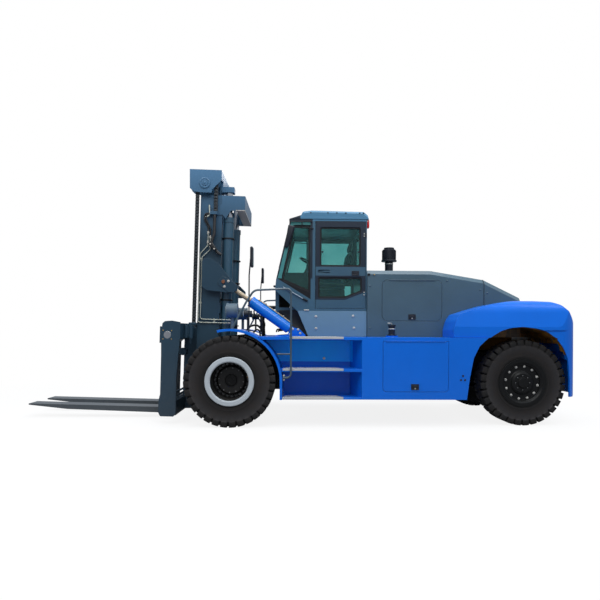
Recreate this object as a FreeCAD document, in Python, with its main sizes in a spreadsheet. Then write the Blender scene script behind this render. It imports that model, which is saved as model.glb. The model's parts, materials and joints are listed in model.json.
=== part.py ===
# Heavy counterbalanced lift truck with a diesel engine, dual drive wheels and a two-stage mast.
# Millimetres. X points to the fork tips, Y to the left side, Z up. The origin is on the ground,
# under the middle of the machine's length and width. Sub-parts of the truck are drawn from the
# middle of the drive axle on the ground, those of the mast from its tilt pivot with the mast upright.
import FreeCAD, Part
import Sketcher
import math
import os
import re

Vector = FreeCAD.Vector
os.makedirs("parts", exist_ok=True)
doc = FreeCAD.newDocument("lift_truck")
sheet = doc.addObject("Spreadsheet::Sheet", "sizes")
SUBPARTS = []

SIZES = {
    "drive_axle_x": 945.8,
    "wheelbase": 4440.0,
    "front_tyre_radius": 675.0,
    "front_tyre_width": 375.0,
    "outer_wheel_y": 1332.5,
    "inner_wheel_y": 899.5,
    "front_rim_radius": 305.0,
    "rear_tyre_radius": 650.0,
    "rear_tyre_width": 350.0,
    "rear_wheel_y": 1125.0,
    "rear_rim_radius": 320.0,
    "kingpin_y": 870.0,
    "box_outer_y": 1480.0,
    "box_inner_y": 560.0,
    "deck_top": 1335.0,
    "box_bottom": 413.0,
    "step_depth": 470.0,
    "frame_outer_y": 470.0,
    "frame_plate": 40.0,
    "rear_frame_y": 290.0,
    "hood_half": 800.0,
    "hood_wall": 20.0,
    "cab_half": 780.0,
    "cab_wall": 60.0,
    "door_gap": 5.0,
    "hinge_radius": 5.5,
    "ballast_half": 1450.0,
    "ballast_rear": 5262.0,
    "fender_radius": 775.0,
    "fender_plate": 14.0,
    "cab_floor": 1745.0,
    "cab_top": 3215.0,
    "pivot_x": 240.0,
    "pivot_z": 560.0,
    "pivot_boss": 56.0,
    "mast_lean": 1.4,
    "rail_rear": 50.0,
    "rail_front": 400.0,
    "rail_foot": -330.0,
    "outer_top": 3040.0,
    "inner_top": 3425.0,
    "rail_outer_y": 660.0,
    "rail_inner_y": 540.0,
    "tilt_cylinder_y": 712.0,
    "tilt_pin_radius": 35.0,
    "tilt_rod_radius": 36.0,
    "lift_cylinder_y": 560.0,
    "lift_barrel_radius": 79.0,
    "lift_rod_radius": 55.0,
    "chain_y": 700.0,
    "pipe_y": 680.0,
    "fork_y": 350.0,
    "fork_width": 300.0,
    "fork_thickness": 95.0,
    "fork_shaft_radius": 55.0,
    "carriage_half": 1200.0,
}


def fill_sheet():
    for row, (alias, number) in enumerate(SIZES.items(), start=1):
        sheet.set("A%d" % row, alias)
        sheet.set("B%d" % row, str(number))
        sheet.setAlias("B%d" % row, alias)
    doc.recompute()


def size(alias):
    return float(sheet.get(alias))


def formula(text):
    return re.sub(r"[a-z_]+", lambda word: "sizes." + word.group(), str(text))


def bind(item, name, text):
    item.setExpression(name, formula(text))


# ---- sketches and features -------------------------------------------------------------------

def new_body(label):
    body = doc.addObject("PartDesign::Body", label)
    body.Label = label
    body.AllowCompound = True
    SUBPARTS.append(body)
    return body


def on_truck(item, forward="0", left="0", up="0"):
    """Places a sub-part from the middle of the drive axle on the ground."""
    bind(item, "Placement.Base.x", "drive_axle_x + (%s)" % forward)
    bind(item, "Placement.Base.y", left)
    bind(item, "Placement.Base.z", up)


def on_mast(item):
    """Places a sub-part from the tilt pivot, leaning back with the mast."""
    lean = FreeCAD.Rotation(Vector(0, 1, 0), -size("mast_lean"))
    item.Placement = FreeCAD.Placement(Vector(0, 0, 0), lean)
    bind(item, "Placement.Base.x", "drive_axle_x + pivot_x")
    bind(item, "Placement.Base.z", "pivot_z")


def new_sketch(body, plane, level):
    role = plane + "_Plane"
    sketch = body.newObject("Sketcher::SketchObject", body.Label + "_outline")
    base = [feature for feature in body.Origin.OriginFeatures if feature.Role == role][0]
    sketch.AttachmentSupport = [(base, "")]
    sketch.MapMode = "FlatFace"
    bind(sketch, "AttachmentOffset.Base.z", level)
    return sketch


def corner_arc(before, corner, after, radius):
    """Start, middle and end of the arc that rounds a corner."""
    to_before = (before - corner).normalize()
    to_after = (after - corner).normalize()
    half = to_before.getAngle(to_after) / 2
    reach = radius / math.tan(half)
    inward = (to_before + to_after).normalize()
    middle = corner + inward * (radius / math.sin(half) - radius)
    return corner + to_before * reach, middle, corner + to_after * reach


def draw_outline(sketch, points, rounds, bows=None):
    """Closed outline. Corners named in rounds are rounded, and an edge named in bows is an arc
    through the point given there, numbered by the corner it starts from."""
    corners = [Vector(x, y, 0) for x, y in points]
    count = len(corners)
    starts, ends, arcs = [], [], []
    for i, corner in enumerate(corners):
        radius = rounds.get(i, 0)
        if radius:
            first, middle, last = corner_arc(corners[i - 1], corner, corners[(i + 1) % count], radius)
            arcs.append(Part.Arc(first, middle, last))
        else:
            first, last = corner, corner
        ends.append(first)
        starts.append(last)
    for i in range(count):
        reached = ends[(i + 1) % count]
        if bows and i in bows:
            sketch.addGeometry(Part.Arc(starts[i], Vector(*bows[i], 0), reached))
        elif starts[i].distanceToPoint(reached) > 1e-6:
            sketch.addGeometry(Part.LineSegment(starts[i], reached))
    for arc in arcs:
        sketch.addGeometry(arc)


def draw_circle(sketch, x, y, radius):
    circle = Part.Circle(Vector(x, y, 0), Vector(0, 0, 1), 10.0)
    index = sketch.addGeometry(circle)
    rule = sketch.addConstraint(Sketcher.Constraint("Radius", index, 10.0))
    bind(sketch, "Constraints[%d]" % rule, radius)


def feature_level(plane, low, high, cut):
    """Height of the sketch so that a pad or pocket fills the room between low and high."""
    if plane == "XZ":
        return "-(%s)" % (low if cut else high)
    return high if cut else low


def finish_feature(body, sketch, low, high, cut):
    kind = "PartDesign::Pocket" if cut else "PartDesign::Pad"
    feature = body.newObject(kind, body.Label + ("_cut" if cut else "_pad"))
    feature.Profile = sketch
    feature.Refine = False
    bind(feature, "Length", "(%s) - (%s)" % (high, low))
    return feature


def slab(body, plane, low, high, points, rounds=None, cut=False, bows=None):
    """A pad or pocket of an outline on a main plane, from low to high across that plane."""
    sketch = new_sketch(body, plane, feature_level(plane, low, high, cut))
    draw_outline(sketch, points, rounds or {}, bows)
    return finish_feature(body, sketch, low, high, cut)


def disc(body, plane, low, high, x, y, radius, cut=False):
    sketch = new_sketch(body, plane, feature_level(plane, low, high, cut))
    draw_circle(sketch, x, y, radius)
    return finish_feature(body, sketch, low, high, cut)


def sides(side, low, high):
    """The room between two distances from the middle, on the left (1) or right (-1) side."""
    if side > 0:
        return str(low), str(high)
    return "-(%s)" % high, "-(%s)" % low


def both_sides(body, low, high, points, rounds=None, cut=False, bows=None):
    for side in (1, -1):
        near, far = sides(side, low, high)
        slab(body, "XZ", near, far, points, rounds, cut, bows)


def box(x_low, x_high, y_low, y_high):
    return [(x_low, y_low), (x_high, y_low), (x_high, y_high), (x_low, y_high)]


def turned(body, points, rounds=None):
    """A solid of revolution about the body's Y axis, from a profile of (y, radius)."""
    sketch = new_sketch(body, "YZ", "0")
    draw_outline(sketch, points, rounds or {})
    feature = body.newObject("PartDesign::Revolution", body.Label + "_turned")
    feature.Profile = sketch
    feature.ReferenceAxis = (sketch, ["H_Axis"])
    feature.Angle = 360.0
    return feature


def round_hub(radius, angle):
    """A point at an angle, in degrees from forward, on a circle about the front wheels' axis."""
    turn = math.radians(angle)
    return radius * math.cos(turn), size("front_tyre_radius") + radius * math.sin(turn)


# ---- frame and axles -------------------------------------------------------------------------

def build_chassis_frame():
    body = new_body("chassis_frame")
    inner = size("frame_outer_y") - size("frame_plate")
    outer = size("frame_outer_y")
    pivot_x, pivot_z = size("pivot_x"), size("pivot_z")
    boss = size("pivot_boss")
    plates = [(-3480, 460), (-600, 460), (-250, 400), (60, 400), (150, 470),
              (pivot_x + boss, pivot_z - boss), (pivot_x + boss, pivot_z + boss),
              (130, 960), (-60, 1180), (-300, 1290), (-3480, 1290)]
    nose = {4: 40, 5: boss - 1, 6: boss - 1, 7: 120}
    both_sides(body, "frame_outer_y - frame_plate", "frame_outer_y", plates, nose)
    slab(body, "XY", 1100, 1130, box(-405, -90, -inner, inner))
    slab(body, "XY", 1130, 1215, box(-330, -190, -300, 300))
    slab(body, "XY", 620, 1270, box(-450, -405, -inner, inner))
    slab(body, "XY", 460, 500, box(-3480, -900, -inner, inner))
    slab(body, "XY", 400, 1290, box(-3530, -3480, -outer, outer))
    rear = size("rear_frame_y")
    rail = [(-4900, 840), (-4700, 800), (-3900, 800), (-3530, 620), (-3530, 1080), (-4900, 1080)]
    both_sides(body, rear - 50, rear, rail, {1: 60, 2: 120})
    slab(body, "XY", 840, 1080, box(-4900, -4850, -rear, rear))
    slab(body, "XY", 800, 850, box(-4640, -4240, -rear, rear))
    support = [(-880, 1742), (-978, 1742), (-1156, 1337), (-1156, 1240), (-1060, 1240), (-1060, 1337)]
    both_sides(body, 500, 545, support)
    slab(body, "XZ", -545, 545, [(-938, 1742), (-978, 1742), (-1156, 1337), (-1116, 1337)])
    both_sides(body, inner, 545, box(-1156, -1060, 1240, 1290))
    cradle = [(-3530, 400), (-3530, 470), (-3300, 470), (-3240, 400), (-3300, 372), (-3480, 372)]
    slab(body, "XZ", -outer, outer, cradle)
    for side in (1, -1):
        near, far = sides(side, 400, 500)
        disc(body, "XZ", near, far, 0, size("front_tyre_radius"), 150, cut=True)
        disc(body, "XZ", near, far, pivot_x, pivot_z, 50.5, cut=True)
    on_truck(body)


def build_drive_axle():
    body = new_body("drive_axle")
    profile = [(-1040, 0), (-1040, 90), (-700, 110), (-690, 150), (-380, 150), (-190, 255), (190, 255),
               (380, 150), (690, 150), (700, 110), (1040, 90), (1040, 0)]
    turned(body, profile, {4: 60, 5: 90, 6: 90, 7: 60})
    on_truck(body, up="front_tyre_radius")


def build_steer_axle():
    body = new_body("steer_axle")
    pin = size("kingpin_y")
    beam = [(-760, -85), (760, -85), (760, 85), (420, 110), (160, 145), (-160, 145), (-420, 110),
            (-760, 85)]
    slab(body, "YZ", -130, 130, beam)
    for low, high in ((85, 140), (-140, -85)):
        slab(body, "XY", low, high, box(-110, 110, -pin, pin))
        for side in (1, -1):
            disc(body, "XY", low, high, 0, side * pin, 110)
    disc(body, "XZ", -330, 330, -230, -20, 65)
    slab(body, "XY", -60, 20, box(-230, -120, -200, 200))
    disc(body, "XZ", -520, 520, -230, -20, 30)
    for side in (1, -1):
        disc(body, "XY", -145, 145, 0, side * pin, 35.5, cut=True)
    on_truck(body, forward="-wheelbase", up="rear_tyre_radius")


def build_knuckle(side, label):
    body = new_body(label)
    disc(body, "XY", -80, 80, 0, 0, 80)
    disc(body, "XY", -170, 170, 0, 0, 35)
    near, far = sides(side, 0, 200)
    disc(body, "XZ", near, far, 0, 0, 68)
    near, far = sides(side, 120, 190)
    disc(body, "XZ", near, far, 0, 0, 150)
    on_truck(body, forward="-wheelbase", left="%d * kingpin_y" % side, up="rear_tyre_radius")


# ---- wheels ----------------------------------------------------------------------------------

def tyre_profile(middle, width, tread_radius, rim_radius, bead):
    """Section through a tyre: beads inside the rim flanges, round walls and a crowned tread."""
    half = width / 2
    wall = tread_radius - rim_radius
    right = [(bead - 8, rim_radius), (bead, rim_radius + 66), (half * 0.97, rim_radius + wall * 0.36),
             (half, rim_radius + wall * 0.55), (half * 0.985, tread_radius - wall * 0.2),
             (half * 0.93, tread_radius - 10), (half * 0.45, tread_radius)]
    left = [(-x, radius) for x, radius in reversed(right)]
    return [(middle + x, radius) for x, radius in right + left]


TYRE_ROUNDS = {2: 50, 4: 80, 5: 22, 8: 22, 9: 80, 11: 50}


def build_front_wheels(side, name):
    outer = side * size("outer_wheel_y")
    inner = side * size("inner_wheel_y")
    radius = size("front_rim_radius")
    width = size("front_tyre_width")
    tyres = new_body("front_%s_tyres" % name)
    for middle in (outer, inner):
        turned(tyres, tyre_profile(middle, width, size("front_tyre_radius"), radius, 160), TYRE_ROUNDS)
    on_truck(tyres, up="front_tyre_radius")
    rims = new_body("front_%s_rims" % name)
    seat = radius - 1
    bore = seat - 34
    lip = seat + 58
    barrel = [(718, bore), (718, lip), (737, lip), (737, seat), (1062, seat), (1062, lip),
              (1080, lip), (1080, seat), (1152, seat), (1152, lip), (1170, lip), (1170, seat),
              (1495, seat), (1495, lip + 2), (1512, lip + 2), (1512, seat - 6), (1495, seat - 22),
              (1380, seat - 22), (1365, bore), (1145, bore), (1130, 225), (1120, 160), (1060, 160),
              (1050, bore)]
    turned(rims, [(side * y, r) for y, r in barrel], {14: 14, 15: 12})
    hub = [(1060, 0), (1060, 160), (1120, 160), (1130, 224), (1215, 224), (1240, 200), (1240, 0)]
    turned(rims, [(side * y, r) for y, r in hub], {4: 12, 5: 12})
    drum = [(716, 165), (716, 235), (1000, 235), (1060, 200), (1060, 160), (740, 160)]
    turned(rims, [(side * y, r) for y, r in drum])
    on_truck(rims, up="front_tyre_radius")


def build_rear_wheel(side, name):
    middle = side * size("rear_wheel_y")
    radius = size("rear_rim_radius")
    tyre = new_body("rear_%s_tyre" % name)
    width, tread = size("rear_tyre_width"), size("rear_tyre_radius")
    turned(tyre, tyre_profile(middle, width, tread, radius, 140), TYRE_ROUNDS)
    on_truck(tyre, forward="-wheelbase", up="rear_tyre_radius")
    rim = new_body("rear_%s_rim" % name)
    seat = radius - 1
    lip = seat + 46
    barrel = [(964, seat - 34), (964, lip), (983, lip), (983, seat), (1267, seat), (1267, lip),
              (1286, lip), (1286, seat - 8), (1270, seat - 24), (1262, 278), (1232, 268), (1226, 190),
              (1240, 170), (1262, 166), (1276, 140), (1276, 82), (1299, 72), (1299, 0), (1075, 0),
              (1075, 150), (1190, 175), (1200, 262), (1222, seat - 34)]
    turned(rim, [(side * y, r) for y, r in barrel], {7: 14, 16: 8})
    on_truck(rim, forward="-wheelbase", up="rear_tyre_radius")


# ---- side boxes, fenders, counterweight ---------------------------------------------------------

def build_side_box(side, name):
    body = new_body("%s_side_box" % name)
    top, bottom = size("deck_top"), size("box_bottom")
    outer = size("box_outer_y")
    arch = size("fender_radius") + 6
    outline = [(-arch, bottom), round_hub(arch, 180), round_hub(arch, 122), (-415, top), (-3845, top),
               (-3711, 1214), (-3622, 1036), (-3564, 738), (-3520, bottom)]
    near, far = sides(side, "box_inner_y", "box_outer_y")
    slab(body, "XZ", near, far, outline, {5: 60, 6: 90}, bows={1: round_hub(arch, 151)})
    recess = [(-1820, outer - size("step_depth")), (-1954, outer), (-1954, outer + 5), (-300, outer + 5),
              (-300, outer - size("step_depth"))]
    recess = [(x, side * y) for x, y in recess]
    slab(body, "XY", 443, 822, recess, cut=True)
    slab(body, "XY", 865, top - 43, recess, cut=True)
    locker = box(-3247, -2263, 527, 1282)
    slab(body, "XZ", *sides(side, outer - 330, outer + 1), locker, {0: 58, 1: 58}, cut=True)
    bracket = [(-1130, top - 20), (-1130, top + 25), (-1020, 1465), (-930, 1478), (-880, 1440),
               (-840, 1362), (-640, top + 12), (-640, top - 20)]
    for low, high in ((652, 672), (752, 772)):
        slab(body, "XZ", *sides(side, low, high), bracket, {2: 60, 3: 40, 4: 30})
    disc(body, "XZ", *sides(side, 645, 779), -960, 1400, "tilt_pin_radius")
    disc(body, "XY", top, top + 22, -2450, side * 1150, 95)
    on_truck(body)


def build_box_door(side, name):
    body = new_body("%s_box_door" % name)
    gap = size("door_gap")
    outline = box(-3247 + gap, -2263 - gap, 527 + gap, 1282 - gap)
    near, far = sides(side, "box_outer_y - 25", "box_outer_y")
    slab(body, "XZ", near, far, outline, {0: 55, 1: 55})
    piano_hinge(body, side, size("box_outer_y"), 1280, -3200, -2310)
    on_truck(body)


def piano_hinge(body, side, face, level, rear, front):
    """A long hinge along the top edge of a lid, with its pin just outside the lid's face."""
    near, far = sides(side, face, face + 4)
    slab(body, "XZ", near, far, box(rear, front, level - 18, level - 2))
    disc(body, "YZ", rear, front, side * (face + 6), level, "hinge_radius")


def build_step_treads():
    body = new_body("step_treads")
    for side in (1, -1):
        for low, front in ((443, -782), (865, -782), (size("deck_top"), -880)):
            outer = size("box_outer_y")
            plate = [(-1600, outer - 250), (-1680, outer), (-1680, outer + 5), (front, outer + 5),
                     (front, outer), (front - 40, outer - 250)]
            slab(body, "XY", low, low + 5, [(x, side * y) for x, y in plate])
            near, far = sides(side, "box_outer_y", "box_outer_y + 5")
            slab(body, "XZ", near, far, box(-1680, front, low - 27, low))
    on_truck(body)


def build_front_fenders():
    """Rolled plates over the front wheels, each with a deeper lip along its outer edge."""
    body = new_body("front_fenders")
    skin = size("fender_plate")
    for low, high, depth, start in (("705", "box_outer_y + 25", skin, 0),
                                    ("box_outer_y + 5", "box_outer_y + 25", skin + 22, skin)):
        outer = size("fender_radius") - start
        inner = size("fender_radius") - depth
        outline = [round_hub(outer, 76), round_hub(outer, 180), (-outer, 408), (-inner, 408),
                   round_hub(inner, 180), round_hub(inner, 76)]
        bows = {0: round_hub(outer, 128), 4: round_hub(inner, 128)}
        both_sides(body, low, high, outline, bows=bows)
    on_truck(body)


def build_counterweight():
    body = new_body("counterweight")
    rear = -size("ballast_rear")
    half = size("ballast_half")
    cap = [(-3329, 1337), (-3329, 1450), (-3365, 1590), (-3430, 1690), (-3659, 1767), (-3886, 1829),
           (-4189, 1888), (-4356, 1905), (-4645, 1905), (-4860, 1890), (-4995, 1835), (-5095, 1735),
           (rear + 22, 1530), (rear, 1450), (-4700, 1450), (-4700, 1337)]
    cap_rounds = {1: 60, 2: 120, 3: 60, 5: 400, 6: 600, 9: 150, 10: 150, 11: 200, 12: 60}
    slab(body, "XZ", -half, half, cap, cap_rounds)
    foot = [(-4700, 1337), (-4700, 1438), (rear + 14, 1438), (rear + 14, 520), (rear + 60, 449),
            (-4900, 449), (-4900, 1337)]
    slab(body, "XZ", -half + 12, half - 12, foot, {3: 60})
    slab(body, "XZ", -half + 30, half - 30, box(-4700, rear + 32, 1437, 1451))
    well = [(-3300, 1300), (-3873, 1333), (-4039, 1439), (-4191, 1485), (-4373, 1501), (-4571, 1479),
            (-4723, 1443), (-4876, 1338), (-4984, 1203), (-5076, 1007), (-5108, 706), (-5108, 440),
            (-3300, 440)]
    well_rounds = {2: 250, 3: 400, 4: 400, 5: 400, 6: 250, 7: 200, 8: 200, 9: 300}
    for side in (1, -1):
        slab(body, "XZ", *sides(side, 360, half + 1), well, well_rounds, cut=True)
        for low, high, back in ((440, 1010, rear + 34), (1010, 1130, -5150), (1130, 1250, -5066),
                                (1250, 1320, -4952)):
            swing = [(-4700, 480), (back, 480), (back, half - 40), (-4700, half - 40)]
            slab(body, "XY", low, high, [(x, side * y) for x, y in swing], {2: 310}, cut=True)
    room = [(-3300, 1300), (-4600, 1300), (-4600, 2000), (-3300, 2000)]
    slab(body, "XZ", "-hood_half - 5", "hood_half + 5", room, cut=True)
    round_ballast_corners(body, rear, half)
    for low, high in ((560, 700), (750, 1120)):
        slab(body, "XZ", -110, 110, box(rear - 10, rear + 210, low, high), cut=True)
    disc(body, "XY", 440, 760, rear + 120, 0, 25, cut=True)
    on_truck(body)


def round_ballast_corners(body, rear, half):
    """Rounds the two rear corners in plan and leans the upper flanks inwards."""
    radius = 350
    for side in (1, -1):
        corner = [(rear - 20, half - radius), (rear, half - radius), (rear, half), (rear + radius, half),
                  (rear + radius, half + 20), (rear - 20, half + 20)]
        slab(body, "XY", 440, 1960, [(x, side * y) for x, y in corner], {2: radius}, cut=True)
        flank = [(half + 10, 1500), (half, 1500), (half - 55, 1800), (half - 140, 1880), (half - 320, 1908),
                 (half - 320, 1960), (half + 10, 1960)]
        slab(body, "YZ", -5400, -3300, [(side * y, z) for y, z in flank], {2: 260, 3: 200}, cut=True)


# ---- hood, engine ------------------------------------------------------------------------------

def build_engine_hood():
    body = new_body("engine_hood")
    front, rear = -2115, -4590
    outline = [(front, 1337), (front, 2402), (-3140, 2402), (-4000, 2262), (rear, 1975), (rear, 1337)]
    shell = slab(body, "XZ", "-hood_half", "hood_half", outline, {2: 300, 3: 200})
    shell = chamfer_edges(body, shell, 62, is_top_side_edge)
    wall = size("hood_wall")
    room = [(front - wall, 1300), (front - wall, 2320), (-3120, 2320), (-3985, 2180), (rear + wall, 1895),
            (rear + wall, 1300)]
    slab(body, "XZ", "-hood_half + hood_wall", "hood_half - hood_wall", room, cut=True)
    both_sides(body, "hood_half - 40", "hood_half + 1", box(-3320, -2351, 1590, 2250),
               {0: 90, 1: 90, 2: 90, 3: 90}, cut=True)
    on_truck(body)


def is_top_side_edge(edge):
    """True on the long edges of the hood where its flat top meets its sides."""
    ends = edge.BoundBox
    flat = abs(abs(ends.YMin) - size("hood_half")) < 1 and ends.YLength < 1
    return flat and ends.ZMin > 1970 and ends.XLength > 20


def chamfer_edges(body, feature, reach, chosen):
    doc.recompute()
    names = ["Edge%d" % index for index, edge in enumerate(feature.Shape.Edges, start=1) if chosen(edge)]
    chamfer = body.newObject("PartDesign::Chamfer", body.Label + "_bevel")
    chamfer.Base = (feature, names)
    chamfer.Size = reach
    return chamfer


def build_hatch(side, name):
    body = new_body("%s_hood_hatch" % name)
    gap = size("door_gap")
    outline = box(-3320 + gap, -2351 - gap, 1590 + gap, 2250 - gap)
    near, far = sides(side, "hood_half - hood_wall", "hood_half")
    slab(body, "XZ", near, far, outline, {0: 85, 1: 85, 2: 85, 3: 85})
    piano_hinge(body, side, size("hood_half"), 2248, -3200, -2470)
    on_truck(body)


def build_engine_block():
    body = new_body("engine_block")
    slab(body, "XZ", -400, 400, [(-3450, 560), (-2400, 560), (-2400, 1850), (-3450, 1850)])
    on_truck(body)


def build_pre_cleaner():
    body = new_body("pre_cleaner")
    for low, high, radius in ((2402, 2600, 68), (2600, 2625, 128), (2625, 2800, 108), (2800, 2833, 85)):
        disc(body, "XY", low, high, -2545, 300, radius)
    disc(body, "XY", 1357, 1375, -2450, 1150, 75)
    disc(body, "XY", 1375, 1500, -2450, 1150, 50)
    disc(body, "XY", 1500, 1526, -2450, 1150, 62)
    on_truck(body)


# ---- cab ---------------------------------------------------------------------------------------

def build_cab_shell():
    body = new_body("cab_shell")
    floor, top = size("cab_floor"), size("cab_top")
    outline = [(-639, 2075), (-654, 2240), (-880, top), (-2108, top), (-2108, floor), (-992, floor)]
    slab(body, "XZ", "-cab_half", "cab_half", outline)
    nose = [(-992, floor), (-641, floor), (-639, 2075)]
    slab(body, "XZ", "-cab_half + 190", "cab_half - 190", nose)
    room = [(-700, 1805), (-700, 2100), (-714, 2243), (-925, 3150), (-2048, 3150), (-2048, 1805)]
    slab(body, "XZ", "-cab_half + cab_wall", "cab_half - cab_wall", room, cut=True)
    both_sides(body, "cab_half - cab_wall", "cab_half + 1", box(-2091, -1280, 1785, 3183), cut=True)
    side_window = [(-745, 2290), (-930, 3120), (-1200, 3120), (-1200, 2040), (-760, 2230)]
    both_sides(body, "cab_half - cab_wall", "cab_half + 1", side_window, cut=True)
    slab(body, "YZ", -945, -600, box(-690, 690, 2290, 3110), cut=True)
    slab(body, "YZ", -2120, -2040, box(-640, 640, 2450, 3090), cut=True)
    on_truck(body)


def build_cab_roof():
    body = new_body("cab_roof")
    outline = [(-860, 3216), (-1048, 3277), (-1080, 3341), (-1223, 3359), (-2058, 3344),
               (-2122, 3290), (-2139, 3216)]
    cap = slab(body, "XZ", "-cab_half + 5", "cab_half - 5", outline, {2: 40, 4: 50})
    chamfer_edges(body, cap, 34, is_roof_side_edge)
    gutter = [(-890, 3216), (-1010, 3250), (-2090, 3250), (-2112, 3216)]
    for side in (1, -1):
        slab(body, "XZ", *sides(side, "cab_half - 8", "cab_half + 10"), gutter)
    on_truck(body)


def is_roof_side_edge(edge):
    """True on the long edges where the roof's top meets its two sides."""
    ends = edge.BoundBox
    return abs(abs(ends.YMin) - size("cab_half") + 5) < 1 and ends.YLength < 1 and ends.ZMin > 3330


def build_cab_glass():
    body = new_body("cab_glass")
    side_window = [(-749, 2292), (-932, 3117), (-1197, 3117), (-1197, 2044), (-763, 2232)]
    both_sides(body, "cab_half - 30", "cab_half - 24", side_window)
    screen = [(-676, 2293), (-683, 2293), (-872, 3107), (-865, 3107)]
    slab(body, "XZ", -687, 687, screen)
    slab(body, "YZ", -2085, -2078, box(-637, 637, 2453, 3087))
    on_truck(body)


def build_cab_door(side, name):
    gap = size("door_gap")
    body = new_body("%s_cab_door" % name)
    near, far = sides(side, "cab_half - 55", "cab_half + 3")
    slab(body, "XZ", near, far, box(-2091 + gap, -1280 - gap, 1785 + gap, 3183 - gap))
    upper = box(-2011, -1353, 2458, 3088)
    lower = [(-2031, 2288), (-1325, 2288), (-1325, 1952), (-1760, 1955), (-2031, 2060)]
    near_cut, far_cut = sides(side, "cab_half - 60", "cab_half + 5")
    slab(body, "XZ", near_cut, far_cut, upper, {0: 40, 1: 40, 2: 40, 3: 40}, cut=True)
    slab(body, "XZ", near_cut, far_cut, lower, {0: 30, 1: 30, 2: 30}, cut=True)
    face = size("cab_half")
    for foot in (1990, 2930):
        leaf = [(-2096, face + 3), (-2050, face + 3), (-2050, face + 7), (-2096, face + 7)]
        slab(body, "XY", foot, foot + 70, [(x, side * y) for x, y in leaf])
        disc(body, "XY", foot, foot + 70, -2096, side * (face + 10), 9)
    handle = box(-1520, -1322, 2350, 2404)
    slab(body, "XZ", *sides(side, face - 26, face + 5), handle, {0: 20, 1: 20, 2: 20, 3: 20}, cut=True)
    slab(body, "XZ", *sides(side, face - 12, face), box(-1530, -1400, 2366, 2388))
    on_truck(body)
    glass = new_body("%s_door_glass" % name)
    near, far = sides(side, "cab_half - 26", "cab_half - 20")
    slab(glass, "XZ", near, far, upper, {0: 40, 1: 40, 2: 40, 3: 40})
    slab(glass, "XZ", near, far, lower, {0: 30, 1: 30, 2: 30})
    on_truck(glass)


def build_cab_base():
    body = new_body("cab_base")
    floor = size("cab_floor")
    outline = [(-1000, floor), (-2108, floor), (-2108, 1337), (-1175, 1337)]
    slab(body, "XZ", "-cab_half", "cab_half", outline)
    room = [(-1040, floor - 20), (-2088, floor - 20), (-2088, 1330), (-1195, 1330)]
    slab(body, "XZ", "-cab_half + 20", "cab_half - 20", room, cut=True)
    on_truck(body)


WHEEL_RADIUS = 190.0


def loose_piece(label, shapes, place=None):
    """A sub-part of ready shapes, such as bent tubes, placed on the truck or on the mast."""
    item = doc.addObject("Part::Feature", label)
    item.Label = label
    item.Shape = Part.makeCompound(shapes)
    SUBPARTS.append(item)
    (place or on_truck)(item)


def build_seat():
    base = new_body("seat_base")
    pedestal = [(-1820, 1806), (-1330, 1806), (-1370, 2130), (-1800, 2130)]
    slab(base, "XZ", -230, 230, pedestal, {2: 20, 3: 20})
    on_truck(base)
    pads = new_body("seat_pads")
    squab = [(-1850, 2132), (-1290, 2132), (-1260, 2200), (-1310, 2262), (-1850, 2240)]
    slab(pads, "XZ", -255, 255, squab, {1: 25, 2: 25, 3: 30})
    backrest = [(-1850, 2240), (-1745, 2246), (-1850, 2780), (-1950, 2780)]
    slab(pads, "XZ", -245, 245, backrest, {2: 40, 3: 40})
    headrest = [(-1945, 2781), (-1855, 2781), (-1880, 2950), (-1960, 2950)]
    slab(pads, "XZ", -150, 150, headrest, {2: 30, 3: 30})
    on_truck(pads)


def build_driver_console():
    body = new_body("driver_console")
    panel = [(-706, 1806), (-706, 2080), (-750, 2300), (-830, 2330), (-900, 2200), (-860, 1806)]
    slab(body, "XZ", -300, 300, panel, {3: 30, 4: 40})
    slab(body, "XZ", -34, 34, [(-830, 1900), (-1184, 2577), (-1230, 2555), (-876, 1876)])
    on_truck(body)


def build_steering_wheel():
    """Ring, hub and three spokes, drawn flat and then leaned back on the column."""
    ring = Part.makeTorus(WHEEL_RADIUS, 14)
    hub = Part.makeCylinder(46, 44, Vector(0, 0, -34))
    wheel = ring.fuse(hub)
    for turn in (90, 210, 330):
        direction = Vector(math.cos(math.radians(turn)), math.sin(math.radians(turn)), 0)
        wheel = wheel.fuse(Part.makeCylinder(9, WHEEL_RADIUS, Vector(0, 0, 0), direction))
    wheel.rotate(Vector(0, 0, 0), Vector(0, 1, 0), -27)
    wheel.translate(Vector(-1220, 0, 2600))
    loose_piece("steering_wheel", [wheel])


def build_handrails():
    rails = []
    for side in (1, -1):
        y = side * 1502
        route = [(-46, 1470), (-236, 1833), (-355, 2020), (-900, 2044), (-903, 740), (-785, 735)]
        rails.append(tube_at(route, y, [0, 120, 120, 60, 60, 0], 15))
        rails.append(tube_at([(-700, 1083), (-890, 1083)], y, [0, 0], 12))
    loose_piece("handrails", rails)


def bent_tube(points, radii, tube_radius):
    """A round bar along straight runs joined by arcs."""
    edges = []
    start = points[0]
    for i in range(1, len(points) - 1):
        first, middle, last = corner_arc(points[i - 1], points[i], points[i + 1], radii[i])
        edges.append(Part.LineSegment(start, first).toShape())
        edges.append(Part.Arc(first, middle, last).toShape())
        start = last
    edges.append(Part.LineSegment(start, points[-1]).toShape())
    path = Part.Wire(edges)
    circle = Part.Circle(points[0], (points[1] - points[0]).normalize(), tube_radius)
    return path.makePipeShell([Part.Wire(circle.toShape())], True, False)


def tube_at(points, y, radii, tube_radius):
    """A bent tube whose route lies in one plane along the truck, at a given side distance."""
    return bent_tube([Vector(x, y, z) for x, z in points], radii, tube_radius)


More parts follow.
